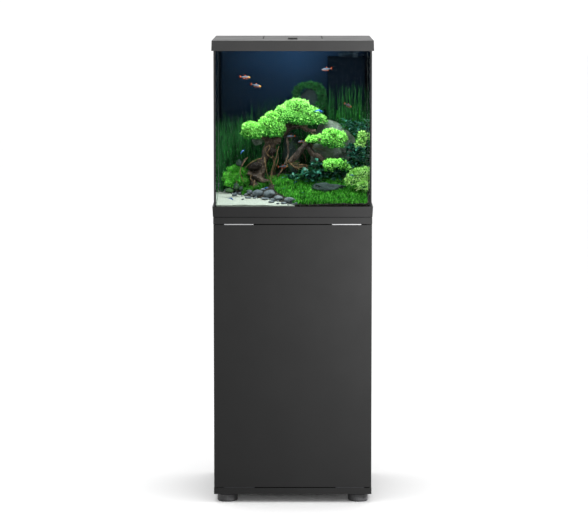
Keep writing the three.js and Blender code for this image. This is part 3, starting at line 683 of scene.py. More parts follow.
rr_ = np.random.default_rng(5)
spots = [(rr_.uniform(0, 148), rr_.uniform(-48, -2), rr_.uniform(812, 866), 7, 7) for _ in range(84)]
spots = [q for q in spots if (q[2] - 800) < 30 + 0.5 * q[0] and not (60 < q[0] < 100 and q[2] > 852)]
spots += [(rr_.uniform(140, 188), rr_.uniform(-46, 20), rr_.uniform(838, 905), 7, 7) for _ in range(30)]
spots += [(rr_.uniform(136, 188), rr_.uniform(-10, 30), rr_.uniform(935, 966), 6, 7) for _ in range(16)]
big_leaves("broad_leaf_plants", spots, [LEAF_DARK, BLADE], 71, length=23, width=8.6, index_p=[0.8, 0.2])


# ------------------------------------------------------------------ hardscape
def stone(name, centre, radii, seed, mat, replaces=(), rough=0.14, detail=5, strata=0.0, facets=0.35):
    bm = bmesh.new()
    bmesh.ops.create_icosphere(bm, subdivisions=detail, radius=1)
    rnd = random.Random(seed)
    planes = [(Vector((rnd.gauss(0, 1), rnd.gauss(0, 1), rnd.gauss(0, 1))).normalized(), rnd.uniform(0.62, 0.9)) for _ in range(16)]
    for v in bm.verts:
        d = v.co.normalized()
        k = 1 + rough * (math.sin(3.1 * d.x + seed) * math.cos(2.7 * d.y - seed * 1.7) + 0.5 * math.sin(5.3 * d.z + 2.3 * seed + 2 * d.x))
        for n_, lim in planes:
            proj = d.dot(n_) * k
            if proj > lim:
                k -= (proj - lim) / max(0.25, d.dot(n_)) * facets * 2
        s = Vector((d.x * 2.3 + seed, d.y * 2.3, d.z * 2.3))
        k += 0.05 * noise.noise(s * 1.7) + 0.03 * noise.noise(s * 4.1) + 0.014 * noise.noise(s * 11)
        if strata:
            k += strata * (abs(math.sin(d.z * 19 + 3 * noise.noise(s))) - 0.5)
        v.co = Vector((centre[0] + d.x * radii[0] * k, centre[1] + d.y * radii[1] * k, centre[2] + d.z * radii[2] * k)) * MM
    for f in bm.faces:
        f.smooth = True
    me = bpy.data.meshes.new(name)
    bm.to_mesh(me)
    bm.free()
    me.materials.append(mat)
    o = bpy.data.objects.new(name, me)
    scene.collection.objects.link(o)
    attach(o, ROOT)
    if replaces:
        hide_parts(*replaces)
    return o


def rock_mat(name, dark, mid, light, scale=30, bump=0.6, moss=0.0):
    m = Mat(name)
    a = m.noise(scale, 6, 0.65, distort=0.4)
    b = m.voronoi(scale * 2.2)
    c = m.noise(scale * 9, 3, 0.6)
    col = m.ramp(m.math("ADD", m.math("MULTIPLY", a, 0.75), m.math("MULTIPLY", c, 0.25)), [(0.3, dark), (0.5, mid), (0.68, light)])
    col = m.mix(m.math("MULTIPLY", b, 0.6, clamp=True), m.mix(0.5, col, dark), col)
    if moss:
        col = m.mix(m.ramp(m.noise(scale * 0.8, 4, 0.6), [(0.52, 0.0), (0.6, moss)]), col, (0.03, 0.09, 0.01))
    m.colour(col)
    m.rough(m.ramp(a, [(0.3, 0.62), (0.7, 0.88)]))
    m.normal(m.bump(m.math("ADD", a, m.math("MULTIPLY", c, 0.4)), bump, 0.002))
    m.set(Specular_IOR_Level=0.10)
    return m.m


ROCK = rock_mat("rock_grey", (0.028, 0.040, 0.030), (0.105, 0.138, 0.105), (0.25, 0.30, 0.25), moss=0.35)
ROCK_DARK = rock_mat("rock_dark", (0.005, 0.009, 0.008), (0.018, 0.032, 0.028), (0.06, 0.085, 0.07), moss=0.5)
ROCK_DIM = rock_mat("rock_dim", (0.001, 0.003, 0.003), (0.004, 0.010, 0.010), (0.012, 0.026, 0.024))
SLATE = rock_mat("slate_dark", (0.004, 0.008, 0.007), (0.018, 0.032, 0.028), (0.055, 0.085, 0.075), scale=34)
stone("rock_right_body", (104, 48, 892), (64, 33, 86), 1.3, ROCK, ("rock_right",), rough=0.10, facets=0.4)
stone("rock_centre_body", (-4, 54, 880), (27, 20, 62), 2.1, ROCK_DARK, ("rock_centre",), rough=0.13)
stone("slate_body", (97, -84, 800), (54, 24, 13), 4.4, SLATE, ("slate_stone",), rough=0.22, strata=0.07, facets=0.6)
stone("slate_back", (76, -66, 804), (30, 14, 10), 12.4, SLATE, rough=0.22, strata=0.05, detail=4, facets=0.6)
stone("rock_arch_back", (40, 130, 1004), (38, 12, 46), 6.2, ROCK_DIM, rough=0.12, detail=4)
stone("stone_behind_left", (-93, 30, 912), (17, 10, 13), 7.7, ROCK, detail=4, facets=0.5)
stone("stone_low_left", (-139.5, 24, 856.2), (11, 9, 11), 9.1, ROCK_DARK, detail=4, facets=0.5)
stone("stone_shore_one", (-147.3, -44, 799.5), (8, 8, 12), 3.7, ROCK_DARK, detail=4, facets=0.5)
stone("stone_shore_two", (-165.2, -56, 790.1), (13, 8, 7), 5.2, ROCK_DARK, detail=4, facets=0.5)
stone("stone_shore_three", (-134.2, -50, 794.8), (7, 7, 7), 8.8, ROCK_DARK, detail=4, facets=0.5)

# dark solid lenses on the wood: painted shade standing in for the shade inside its hollows
HOLLOW_SHADE = rock_mat("wood_hollow_painted_shade", (0.002, 0.0015, 0.001), (0.008, 0.005, 0.003), (0.022, 0.014, 0.009), scale=60, bump=0.8)
stone("hollow_shade_upper", (-54.1, 2, 888.4), (12.5, 6, 14.5), 3.3, HOLLOW_SHADE, rough=0.2, detail=4, facets=0.3)
stone("hollow_shade_middle", (-98.4, -9, 850), (19, 7, 14), 5.1, HOLLOW_SHADE, rough=0.2, detail=4, facets=0.3)
stone("hollow_shade_lower", (-81.9, -4, 816.1), (11, 7, 8), 8.4, HOLLOW_SHADE, rough=0.2, detail=4, facets=0.3)

# pebbles along the sand line
PEB = rock_mat("pebble_grey", (0.035, 0.045, 0.050), (0.105, 0.125, 0.135), (0.26, 0.29, 0.30), scale=60, bump=0.25)
PEBBLES = [
    (-7.0, -162, 775.8, 15.3, 12.2, 8.2),
    (-60.2, -82, 784.8, 16.0, 12.8, 10.8),
    (-36.7, -124, 777.8, 12.3, 9.9, 6.7),
    (-90.4, -54, 783.8, 14.5, 11.6, 9.1),
    (-111.7, -24, 784.0, 8.3, 6.7, 6.8),
    (-150.0, 54, 798.9, 10.5, 8.4, 10.5),
    (-168.0, 30, 784.1, 12.1, 9.7, 5.0),
    (-193.1, 80, 791.6, 6.9, 5.5, 8.5),
    (-150.9, -26, 777.6, 6.8, 5.4, 4.7),
    (-114.8, -72, 774.3, 8.8, 7.0, 2.8),
    (-128.6, -98, 772.8, 3.9, 3.1, 2.1),
    (-54.5, -146, 770.7, 7.9, 6.3, 2.8),
    (-91.0, -14, 792.4, 7.8, 6.3, 4.2),
    (-140.5, 38, 794.9, 5.8, 4.6, 8.9),
    (-69.1, -98, 773.9, 11.8, 9.5, 3.1),
    (-22.4, -168, 768.9, 8.7, 6.9, 3.1),
    (-77.7, -32, 791.2, 6.8, 5.4, 4.2),
    (-48.3, -124, 774.0, 8.7, 7.0, 3.6),
    (-122.1, -30, 778.7, 5.2, 4.2, 2.9),
    (-178.5, 82, 794.1, 5.8, 4.7, 4.8),
    (-159.7, 16, 778.7, 5.2, 4.2, 2.9),
    (8.3, -190, 770.3, 4.1, 3.3, 3.0),
    (-136.9, -10, 780.2, 4.7, 3.8, 3.4),
    (-37.7, -170, 768.6, 4.1, 3.3, 2.0),
    (-99.2, -74, 773.5, 3.9, 3.1, 1.8),
    (-187.0, 52, 781.6, 4.7, 3.8, 2.6),
]
pv, pf, off = [], [], 0
bm0 = bmesh.new()
bmesh.ops.create_icosphere(bm0, subdivisions=4, radius=1)
bv = np.array([v.co[:] for v in bm0.verts])
bf = np.array([[v.index for v in f.verts] for f in bm0.faces])
bm0.free()
r = np.random.default_rng(71)
extra = []
for i in range(46):
    t = r.random()
    side = r.normal(scale=7)
    x = P1[0] + (6 - P1[0]) * t + BN[0] * side
    y = P1[1] + (-186 - P1[1]) * t + BN[1] * side
    if -188 < x < 188 and -188 < y < 188:
        s = r.uniform(1.6, 3.6)
        extra.append((x, y, float(ground(x, y)) + 0.3 * s, s, s * 0.8, s * 0.55))
for i, (x, y, z, rx, ry, rz) in enumerate(PEBBLES + extra):
    z = max(z, float(ground(x, y)) + 0.30 * rz)
    sd = r.uniform(0, 50)
    q = Matrix.Rotation(r.normal(scale=0.25), 3, "Z") @ Matrix.Rotation(r.normal(scale=0.08), 3, "X") @ Matrix.Rotation(r.normal(scale=0.08), 3, "Y")
    n = np.array([1 + 0.17 * noise.noise(Vector(tuple(v * 1.4 + sd))) + 0.03 * noise.noise(Vector(tuple(v * 5 + sd))) for v in bv])
    v = np.sign(bv) * np.abs(bv) ** 0.85
    v = v / np.linalg.norm(v, axis=1)[:, None] * n[:, None]
    v = (v * np.array([rx, ry, rz])) @ np.array(q).T
    pv.append(v + np.array([x, y, z]))
    pf.append(bf + off)
    off += len(bv)
piece("sand_line_pebbles", np.concatenate(pv), np.concatenate(pf), PEB)


# ------------------------------------------------------------------ driftwood
def catmull(pts, n):
    p = [Vector(a) for a in pts]
    p = [p[0] * 2 - p[1]] + p + [p[-1] * 2 - p[-2]]
    out = []
    segs = len(p) - 3
    for i in range(n):
        t = i / (n - 1) * segs
        k = min(int(t), segs - 1)
        u = t - k
        a, b, c, d = p[k:k + 4]
        out.append(0.5 * ((2 * b) + (c - a) * u + (2 * a - 5 * b + 4 * c - d) * u * u + (3 * b - a - 3 * c + d) * u ** 3))
    return out


def tube(pts, r0, r1, n=24, ring=14, seed=0.0, lump=0.18, grain=0.1, tip=True):
    """Verts and faces of a knotty tapered limb with closed ends."""
    c = catmull(pts, n)
    verts, faces = [], []
    up = Vector((0.3, 0.9, 0.2)).normalized()
    for i, p in enumerate(c):
        t = (c[min(i + 1, n - 1)] - c[max(i - 1, 0)]).normalized()
        a = t.cross(up).normalized()
        b = t.cross(a).normalized()
        k = i / (n - 1)
        rad = r0 + (r1 - r0) * k
        if tip and i == n - 1:
            rad *= 0.35
        for j in range(ring):
            w = 2 * math.pi * j / ring
            q = p + (a * math.cos(w) + b * math.sin(w)) * rad
            f = 1 + lump * noise.noise(q * 0.045 + Vector((seed, 0, 0))) + grain * math.sin(5 * w + k * 9 + seed) * 0.5 + 0.12 * noise.noise(q * 0.16 + Vector((0, seed, 0)))
            verts.append(p + (q - p) * f)
    for i in range(n - 1):
        for j in range(ring):
            a0, a1 = i * ring + j, i * ring + (j + 1) % ring
            faces.append((a0, a1, a1 + ring, a0 + ring))
    c0, c1 = len(verts), len(verts) + 1
    verts += [c[0], c[-1] + (c[-1] - c[-2]) * 0.25]
    tris = [(c0, (j + 1) % ring, j) for j in range(ring)] + [(c1, (n - 1) * ring + j, (n - 1) * ring + (j + 1) % ring) for j in range(ring)]
    return [tuple(v) for v in verts], faces, tris


LIMBS = [
    ([(-93.8, 8, 804.7), (-91.2, 10, 822.9), (-86.0, 12, 843.8), (-78.1, 14, 864.7)], 22, 11),
    ([(-78.1, 14, 862.1), (-67.6, 15, 885.7), (-57.1, 16, 904.1), (-54.4, 16, 922.5)], 10, 15),
    ([(-72.7, 8, 912.5), (-54.3, 6, 915.3), (-30.8, 10, 915.0)], 8, 8),
    ([(-54.4, 18, 917.1), (-33.5, 20, 930.1), (-12.4, 20, 945.9), (11.2, 18, 953.9), (40.0, 16, 956.6)], 11, 8),
    ([(-22.9, 20, 943.2), (-1.9, 20, 959.0), (21.7, 20, 972.1)], 9, 7),
    ([(-64.9, 12, 920.1), (-88.4, 6, 928.4), (-111.9, 0, 934.1), (-127.4, -6, 942.3)], 6.5, 3.5),
    ([(-15.1, 10, 922.9), (-12.4, 9, 899.3), (-12.4, 8, 878.4), (-20.3, 7, 857.4), (-30.8, 6, 836.4), (-41.3, 5, 820.7)], 2.5, 1.6),
    ([(26.9, 14, 951.5), (40.0, 12, 943.8), (60.9, 8, 941.4)], 6, 4),
    ([(-116.8, -4, 835.2), (-101.1, -6, 824.9), (-80.2, -8, 814.6), (-61.9, -10, 809.5)], 6.0, 8.0),
    ([(-122.4, 0, 871.1), (-130.3, -2, 858.1), (-135.5, -4, 845.1)], 2.6, 1.8),
    ([(-7.3, 4, 860.6), (3.2, 4, 869.8), (12.4, 2, 881.7), (20.2, 0, 892.4), (29.4, 0, 900.2), (37.2, 0, 906.8)], 8.06, 8.58),
    ([(29.4, 0, 900.2), (39.9, -2, 910.8), (55.5, -6, 916.3), (71.1, -14, 919.4), (91.9, -24, 917.4)], 6.6, 4.2),
    ([(35.9, 0, 905.5), (45.1, 0, 892.4), (54.3, -2, 879.4), (68.6, -6, 875.7), (79.1, -8, 866.7), (86.9, -8, 850.9), (87.0, -8, 837.8)], 8.06, 5.85),
]
ROOTS = [
    ([(-62.1, -2, 905.4), (-71.3, -3, 896.3), (-67.4, -4, 883.2), (-56.9, -4, 872.5), (-51.7, -3, 876.6)], 2.1, 1),
    ([(-73.9, -4, 874.0), (-71.3, -6, 855.8), (-68.7, -8, 837.6), (-64.8, -10, 824.6), (-56.9, -14, 811.8), (-50.3, -18, 799.1)], 2.3, 1.2),
    ([(-36.0, 2, 902.5), (-39.9, 0, 889.5), (-42.5, -2, 873.9), (-49.1, -4, 858.3), (-54.3, -6, 840.1), (-54.3, -8, 816.6)], 2, 1.3),
    ([(-80.5, -2, 871.3), (-93.6, -4, 867.5), (-109.3, -6, 859.7), (-119.7, -8, 850.7), (-127.6, -8, 837.6)], 2.1, 1.1),
    ([(-88.3, -4, 863.5), (-91.0, -6, 853.2), (-101.4, -8, 842.8), (-109.3, -8, 837.6)], 1.9, 1),
    ([(-117.2, 0, 873.7), (-128.9, -4, 858.3), (-136.8, -8, 840.2), (-135.4, -12, 827.4), (-127.5, -16, 809.4)], 2.2, 1.3),
    ([(-106.6, -10, 829.9), (-110.5, -12, 819.5), (-104.0, -14, 811.8), (-96.1, -16, 801.5)], 1.7, 0.9),
    ([(-25.5, 0, 842.2), (-33.4, -2, 831.8), (-39.9, -2, 821.3)], 1.8, 1),
    ([(-145.8, -16, 812.0), (-147.1, -20, 799.2), (-144.4, -24, 786.5)], 1.8, 1),
    ([(-17.7, 2, 870.9), (-16.4, 0, 858.0), (-12.4, -2, 850.2)], 1.8, 1.2),
    ([(-15.1, -4, 862.5), (-4.6, -4, 853.8), (8.5, -4, 850.1), (24.2, -4, 850.7), (42.5, -4, 849.1)], 2.3, 1.2),
    ([(-12.5, -8, 864.1), (-2.0, -8, 857.2), (11.1, -8, 854.1), (26.8, -8, 855.1), (39.8, -8, 852.5)], 2.3, 1.2),
    ([(-9.9, -6, 861.3), (0.6, -6, 850.8), (13.7, -6, 844.5), (26.8, -6, 838.7), (34.6, -6, 833.5)], 2.3, 1.2),
    ([(-7.3, -2, 858.4), (5.8, -2, 846.3), (18.9, -2, 841.6), (32.0, -2, 843.7), (45.1, -2, 844.7)], 2.3, 1.2),
    ([(-4.6, -10, 856.3), (5.8, -10, 848.5), (16.3, -10, 847.9), (29.4, -10, 847.9), (42.5, -10, 840.6)], 2.3, 1.2),
    ([(-12.5, 0, 866.1), (-2.0, 0, 860.9), (8.5, 0, 858.3), (18.9, 0, 859.8)], 2.3, 1.2),
    ([(-2.0, -3, 853.2), (11.1, -3, 840.1), (21.6, -3, 835.9)], 2.3, 1.2),
    ([(45.1, -6, 913.7), (55.5, -6, 898.0), (71.2, -6, 895.4), (86.9, -6, 890.1)], 1.8, 0.8),
    ([(18.9, 2, 892.2), (29.4, 2, 879.1), (34.7, 2, 863.4)], 1.8, 0.8),
    ([(47.7, 2, 936.8), (66.0, 2, 931.5), (81.7, 2, 934.2)], 1.8, 0.8),
]
# limbs that carry the wood down into the ground
LIMBS += [
    ([(-93.8, 8, 806), (-93.8, 8, 782)], 21, 22),
    ([(87, -8, 840), (90, -8, 820), (92, -8, 804)], 4.6, 4),
]
m = Mat("driftwood_bark")
v = m.coords((1, 1, 0.22))
gr_ = m.noise(150, 5, 0.7, v, distort=1.2)
gb = m.noise(16, 4, 0.6)
m.colour(m.ramp(m.math("ADD", m.math("MULTIPLY", gr_, 0.55), m.math("MULTIPLY", gb, 0.45)), [(0.38, (0.005, 0.003, 0.002)), (0.50, (0.022, 0.014, 0.008)), (0.61, (0.078, 0.055, 0.037)), (0.72, (0.23, 0.18, 0.13))]))
m.rough(m.ramp(gr_, [(0.3, 0.6), (0.7, 0.85)]))
m.normal(m.bump(gr_, 0.9, 0.0025))
m.set(Specular_IOR_Level=0.25)
BARK = m.m
m = Mat("root_wood")
gr_ = m.noise(260, 4, 0.65, m.coords((1, 1, 0.3)))
m.colour(m.ramp(gr_, [(0.34, (0.018, 0.010, 0.004)), (0.52, (0.066, 0.040, 0.016)), (0.7, (0.19, 0.125, 0.056))]))
m.normal(m.bump(gr_, 0.6, 0.0008))
m.set(Roughness=0.75, Specular_IOR_Level=0.25)
ROOTWOOD = m.m
allv, quads, tris = [], [], []
for i, (pts, a, b) in enumerate(LIMBS):
    v_, q_, t_ = tube(pts, a, b, n=30, ring=16, seed=i * 3.7, lump=0.42, grain=0.16)
    o_ = len(allv)
    allv += v_
    quads += [tuple(k + o_ for k in q) for q in q_]
    tris += [tuple(k + o_ for k in q) for q in t_]
wood = piece("driftwood_body", allv, [np.array(quads), np.array(tris)], BARK, replaces=("driftwood",))
rm = wood.modifiers.new("join", "REMESH")
rm.mode, rm.voxel_size, rm.use_smooth_shade = "VOXEL", 0.0013, True
cs = wood.modifiers.new("soft", "SMOOTH")
cs.iterations = 1
tex = bpy.data.textures.new("bark_relief", "CLOUDS")
tex.noise_scale, tex.noise_depth = 0.007, 4
dm = wood.modifiers.new("relief", "DISPLACE")
dm.texture, dm.strength, dm.mid_level = tex, 0.0034, 0.5

# hanging roots and twigs
rv, rq, rt = [], [], []
r = np.random.default_rng(83)


def thin(pts, r0, r1, seed, n=16, ring=7):
    v_, q_, t_ = tube(pts, r0, r1, n=n, ring=ring, seed=seed, lump=0.35, grain=0.0)
    o_ = len(rv)
    rv.extend(v_)
    rq.extend(tuple(k + o_ for k in q) for q in q_)
    rt.extend(tuple(k + o_ for k in q) for q in t_)


for i, (pts, a, b) in enumerate(ROOTS):
    thin(pts, a * 0.60, b * 0.64, i * 1.7, n=26)
for i in range(4):
    x0 = r.uniform(-70, -30)
    z0 = r.uniform(885, 915)
    y0 = 12 + r.uniform(-8, 8)
    x1 = x0 + r.normal(scale=12)
    z1 = float(ground(x1, y0)) - 2 if r.random() < 0.5 else z0 - r.uniform(30, 70)
    mid1 = (x0 + (x1 - x0) * 0.3 + r.normal(scale=5), y0 + r.normal(scale=6), z0 + (z1 - z0) * 0.35)
    mid2 = (x0 + (x1 - x0) * 0.7 + r.normal(scale=6), y0 + r.normal(scale=8), z0 + (z1 - z0) * 0.7)
    thin([(x0, y0, z0), mid1, mid2, (x1, y0 + r.normal(scale=8), z1)], r.uniform(0.8, 1.5), 0.4, i * 1.3)
for i in range(3):
    a = r.uniform(0, 6.28)
    x0, y0 = -94 + 10 * math.cos(a), 8 + 10 * math.sin(a)
    L = r.uniform(18, 44)
    x1, y1 = x0 + L * math.cos(a), y0 + L * math.sin(a)
    thin([(x0, y0, 818 + r.uniform(-8, 12)), (x0 + 0.4 * L * math.cos(a), y0 + 0.4 * L * math.sin(a), 806), (x1, y1, float(ground(x1, y1)) - 1)], r.uniform(1.2, 2.4), 0.6, 50 + i)
piece("roots_and_twigs", rv, [np.array(rq), np.array(rt)], ROOTWOOD)


# ------------------------------------------------------------------ fish and shrimps
m = Mat("fish_scales")
sepx = m.n("ShaderNodeSeparateXYZ"); m.link(m.co.outputs["Generated"], sepx.inputs[0])
body_c = m.ramp(sepx.outputs["Z"], [(0.22, (0.11, 0.020, 0.005)), (0.42, (0.045, 0.036, 0.032)), (0.55, (0.026, 0.033, 0.046)), (0.85, (0.004, 0.007, 0.012))])
head_c = m.ramp(sepx.outputs["X"], [(0.78, 0.0), (0.92, 1.0)])
m.colour(m.mix(head_c, m.mix(m.math("MULTIPLY", m.voronoi(1400), 0.8, clamp=True), body_c, (0.02, 0.035, 0.05)), (0.15, 0.070, 0.010)))
m.normal(m.bump(m.voronoi(1400), 0.35, 0.0002))
m.set(Roughness=0.4, Metallic=0.0, Specular_IOR_Level=0.08)
FISH = m.m
m = Mat("fish_fin")
m.colour(m.ramp(m.noise(600, 2), [(0.35, (0.085, 0.010, 0.002)), (0.65, (0.18, 0.034, 0.006))]))
m.set(Roughness=0.5, Specular_IOR_Level=0.05)
FIN = m.m
m = Mat("fish_eye")
m.colour(m.ramp(m.noise(900, 1), [(0.4, (0.004, 0.004, 0.004)), (0.6, (0.02, 0.02, 0.02))]))
m.set(Roughness=0.12)
EYE = m.m


def fish(name, pos, length, heading, tilt=0.0, bend=0.0, seed=0):
    n, ring = 18, 12
    V, Q, T, I = [], [], [], []
    prof = [(0.0, 0.02), (0.06, 0.075), (0.15, 0.115), (0.3, 0.145), (0.45, 0.14), (0.6, 0.105), (0.75, 0.06), (0.85, 0.035), (0.9, 0.03)]
    px = [a for a, _ in prof]
    ph = [b for _, b in prof]
    for i in range(n):
        t = 0.9 * i / (n - 1)
        h = float(np.interp(t, px, ph))
        w = h * 0.52
        for j in range(ring):
            a = 2 * math.pi * j / ring
            V.append((0.5 - t, bend * math.sin(t * 3.0) * 0.06 + w * math.cos(a), h * math.sin(a) * (1.0 if math.sin(a) > 0 else 1.08)))
    for i in range(n - 1):
        for j in range(ring):
            a0, a1 = i * ring + j, i * ring + (j + 1) % ring
            Q.append((a0, a0 + ring, a1 + ring, a1)); I.append(0)
    c0 = len(V); V.append((0.505, 0, 0))
    c1 = len(V); V.append((0.5 - 0.905, 0, 0))
    for j in range(ring):
        T.append((c0, j, (j + 1) % ring))
        T.append((c1, (n - 1) * ring + (j + 1) % ring, (n - 1) * ring + j))

    def fin(outline, th=0.008, y=0.0, lean=0.0):
        k = len(outline)
        o_ = len(V)
        for s in (-1, 1):
            for x, z in outline:
                V.append((x, y + s * th * (0.6 + 0.4 * (z == outline[0][1])) + lean * abs(z), z))
        cen = (sum(x for x, _ in outline) / k, sum(z for _, z in outline) / k)
        a, b = len(V), len(V) + 1
        V.extend([(cen[0], y - th + lean * abs(cen[1]), cen[1]), (cen[0], y + th + lean * abs(cen[1]), cen[1])])
        for i in range(k):
            j = (i + 1) % k
            T.append((a, o_ + i, o_ + j)); T.append((b, o_ + k + j, o_ + k + i))
            Q.append((o_ + i, o_ + k + i, o_ + k + j, o_ + j)); I.append(1)

    nt0 = len(T)
    fin([(-0.38, 0.02), (-0.46, 0.09), (-0.56, 0.15), (-0.53, 0.06), (-0.50, 0.0), (-0.53, -0.06), (-0.56, -0.15), (-0.46, -0.09), (-0.38, -0.02)])
    fin([(0.08, 0.12), (0.01, 0.21), (-0.05, 0.22), (-0.08, 0.16), (-0.10, 0.10)])
    fin([(-0.02, -0.13), (-0.07, -0.20), (-0.15, -0.19), (-0.22, -0.08)])
    fin([(0.20, -0.12), (0.14, -0.21), (0.08, -0.19), (0.10, -0.13)])
    fin([(0.26, -0.03), (0.12, -0.10), (0.10, -0.03), (0.16, 0.0)], y=0.062)
    fin([(0.26, -0.03), (0.12, -0.10), (0.10, -0.03), (0.16, 0.0)], y=-0.062)
    nt1 = len(T)
    # eyes
    for s in (-1, 1):
        o_ = len(V)
        for i in range(5):
            for j in range(8):
                a, b = math.pi * (i + 0.5) / 5, 2 * math.pi * j / 8
                V.append((0.40 + 0.022 * math.sin(a) * math.cos(b), s * (0.040 + 0.012 * math.cos(a)), 0.018 + 0.022 * math.sin(a) * math.sin(b)))
        for i in range(4):
            for j in range(8):
                Q.append((o_ + i * 8 + j, o_ + i * 8 + (j + 1) % 8, o_ + (i + 1) * 8 + (j + 1) % 8, o_ + (i + 1) * 8 + j)); I.append(2)
        for e, rev in ((0, False), (4, True)):
            for j in range(1, 7):
                T.append((o_ + e * 8, o_ + e * 8 + j + 1, o_ + e * 8 + j) if not rev else (o_ + e * 8, o_ + e * 8 + j, o_ + e * 8 + j + 1))
    it = [0] * nt0 + [1] * (nt1 - nt0) + [2] * (len(T) - nt1)
    R = Matrix.Rotation(heading, 3, "Z") @ Matrix.Rotation(-tilt, 3, "Y")
    W = np.array(V) * length @ np.array(R).T + np.array(pos)
    return piece(name, W, [np.array(Q), np.array(T)], [FISH, FIN, EYE], index=I + it)


for i, (pos, L, hd, tl, bd) in enumerate([
    ((-122.8, -60, 1085.5), 26, 0.1, -0.06, 1),
    ((-94.9, -40, 1063), 27, -0.15, -0.22, -1),
    ((87.9, -20, 1104.4), 27, 3.34, -0.12, 1),
    ((142.1, -96, 1014.4), 23, 0.5, -0.45, -1),
    ((-4.5, -60, 932.2), 21, 3.4, -0.05, 1),
    ((22.8, -60, 918.7), 20, 3.3, -0.12, -1),
    ((-25.2, -80, 855.2), 25, 0.2, 0.02, 1)]):
    fish(f"fish_{i + 1}", pos, L, hd, tl, bd, i)

m = Mat("shrimp_blue")
sx = m.n("ShaderNodeSeparateXYZ"); m.link(m.co.outputs["Generated"], sx.inputs[0])
m.colour(m.mix(m.math("MULTIPLY", m.noise(500, 3), 0.9), (0.002, 0.02, 0.11), (0.012, 0.12, 0.36)))
m.normal(m.bump(m.noise(700, 2), 0.2, 0.0002))
m.set(Roughness=0.25)
SHRIMP = m.m


def shrimp(name, pos, length, heading, tilt=0.0):
    V, Q, T = [], [], []
    n, ring = 22, 10
    for i in range(n):
        t = i / (n - 1)
        x = 0.5 - t * 0.92
        zc = 0.10 * math.sin(math.pi * min(1, t * 1.05)) + (-(t - 0.55) ** 2 * 0.9 if t > 0.55 else 0)
        h = 0.02 + 0.085 * math.sin(math.pi * min(1.0, t * 0.92 + 0.06)) ** 0.8
        h *= 1 + 0.07 * math.sin(t * 44)
        for j in range(ring):
            a = 2 * math.pi * j / ring
            V.append((x, h * 0.72 * math.cos(a), zc + h * math.sin(a)))
    for i in range(n - 1):
        for j in range(ring):
            a0, a1 = i * ring + j, i * ring + (j + 1) % ring
            Q.append((a0, a0 + ring, a1 + ring, a1))
    c0 = len(V); V.append((0.56, 0, 0.012))
    c1 = len(V); V.append((-0.46, 0, V[(n - 1) * ring][2]))
    for j in range(ring):
        T.append((c0, j, (j + 1) % ring)); T.append((c1, (n - 1) * ring + (j + 1) % ring, (n - 1) * ring + j))

    def rod(a, b, r0, r1, k=4):
        a, b = Vector(a), Vector(b)
        d = (b - a).normalized()
        u = d.cross(Vector((0.2, 0.1, 1))).normalized()
        w = d.cross(u)
        o_ = len(V)
        for p, rr in ((a, r0), (b, r1)):
            for j in range(k):
                an = 2 * math.pi * j / k
                V.append(tuple(p + (u * math.cos(an) + w * math.sin(an)) * rr))
        for j in range(k):
            Q.append((o_ + j, o_ + (j + 1) % k, o_ + k + (j + 1) % k, o_ + k + j))
        Q.append((o_ + 3, o_ + 2, o_ + 1, o_)); Q.append((o_ + 4, o_ + 5, o_ + 6, o_ + 7))

    for s in (-1, 1):
        for i in range(5):
            x = 0.30 - i * 0.085
            rod((x, s * 0.04, 0.02), (x + 0.03, s * 0.13, -0.03), 0.010, 0.008)
            rod((x + 0.03, s * 0.13, -0.03), (x - 0.02, s * 0.16, -0.15), 0.008, 0.004)
        for i in range(5):
            x = -0.10 - i * 0.065
            rod((x, s * 0.03, 0.03), (x - 0.03, s * 0.05, -0.05), 0.012, 0.008)
        rod((0.52, s * 0.02, 0.03), (0.75, s * 0.12, 0.12), 0.005, 0.003)
        rod((0.75, s * 0.12, 0.12), (0.95, s * 0.22, 0.10), 0.003, 0.002)
        rod((0.45, s * 0.045, 0.06), (0.47, s * 0.06, 0.075), 0.016, 0.018)
        rod((-0.42, s * 0.01, -0.10), (-0.56, s * 0.08, -0.13), 0.012, 0.022)
    rod((-0.42, 0, -0.10), (-0.60, 0, -0.13), 0.012, 0.024)
    R = Matrix.Rotation(heading, 3, "Z") @ Matrix.Rotation(-tilt, 3, "Y")
    W = np.array(V) * length @ np.array(R).T + np.array(pos)
    return piece(name, W, [np.array(Q), np.array(T)], SHRIMP)


for i, (x, y, z, L, hd, tl) in enumerate([
    (66.8, -58, 997.8, 21, 0.35, -0.22),
    (-130.7, -44, 891.5, 13, 0.5, 0.6),
    (-158, -168, 780.2, 16, 0.5, -0.45),
    (-69.5, -60, 798.1, 11, 0.1, 0.1),
    (-25.3, -66, 796, 11, 0.2, 0.25),
    (5.9, -40, 810.2, 13, 0.3, 0.6),
    (27.9, -100, 789.4, 12, 0.3, -0.4),
    (151, -140, 838.2, 11, 0.2, -0.2)]):
    shrimp(f"shrimp_{i + 1}", (x, y, z), L, hd, tl)


# ------------------------------------------------------------------ materials of the built parts
BOARD_MAT = satin("anthracite_board", (0.0056, 0.0056, 0.0056), rough=0.40, grain=900, var=0.07, bump=0.05, spec=0.06)
DOOR_MAT = satin("anthracite_door", (0.0056, 0.0056, 0.0056), rough=0.38, grain=900, var=0.06, bump=0.04, spec=0.06)
LID_MAT = satin("lid_plastic", (0.0128, 0.0128, 0.0128), rough=0.42, grain=700, var=0.06, bump=0.06, spec=0.29)
FRAME_MAT = satin("base_frame_plastic", (0.0050, 0.0050, 0.0050), rough=0.44, grain=700, var=0.06, bump=0.06, spec=0.06)
BLACK = satin("black_plastic", (0.010, 0.011, 0.013), rough=0.40, grain=600, var=0.15, bump=0.08)
FOOT_MAT = satin("foot_plastic", (0.013, 0.013, 0.014), rough=0.40, grain=700, var=0.08, bump=0.05)
ALU = satin("brushed_aluminium", (0.23, 0.23, 0.235), rough=0.42, grain=1400, var=0.08, bump=0.05, stretch=(0.03, 1, 1), metallic=0.75)
# a dark copy for the aluminium strips at the bottom of the door, with their shade painted in
STRIP_SHADE = satin("strip_painted_shade", (0.010, 0.010, 0.011), rough=0.45, grain=1200, var=0.2, bump=0.06, spec=0.1, stretch=(0.05, 1, 1))
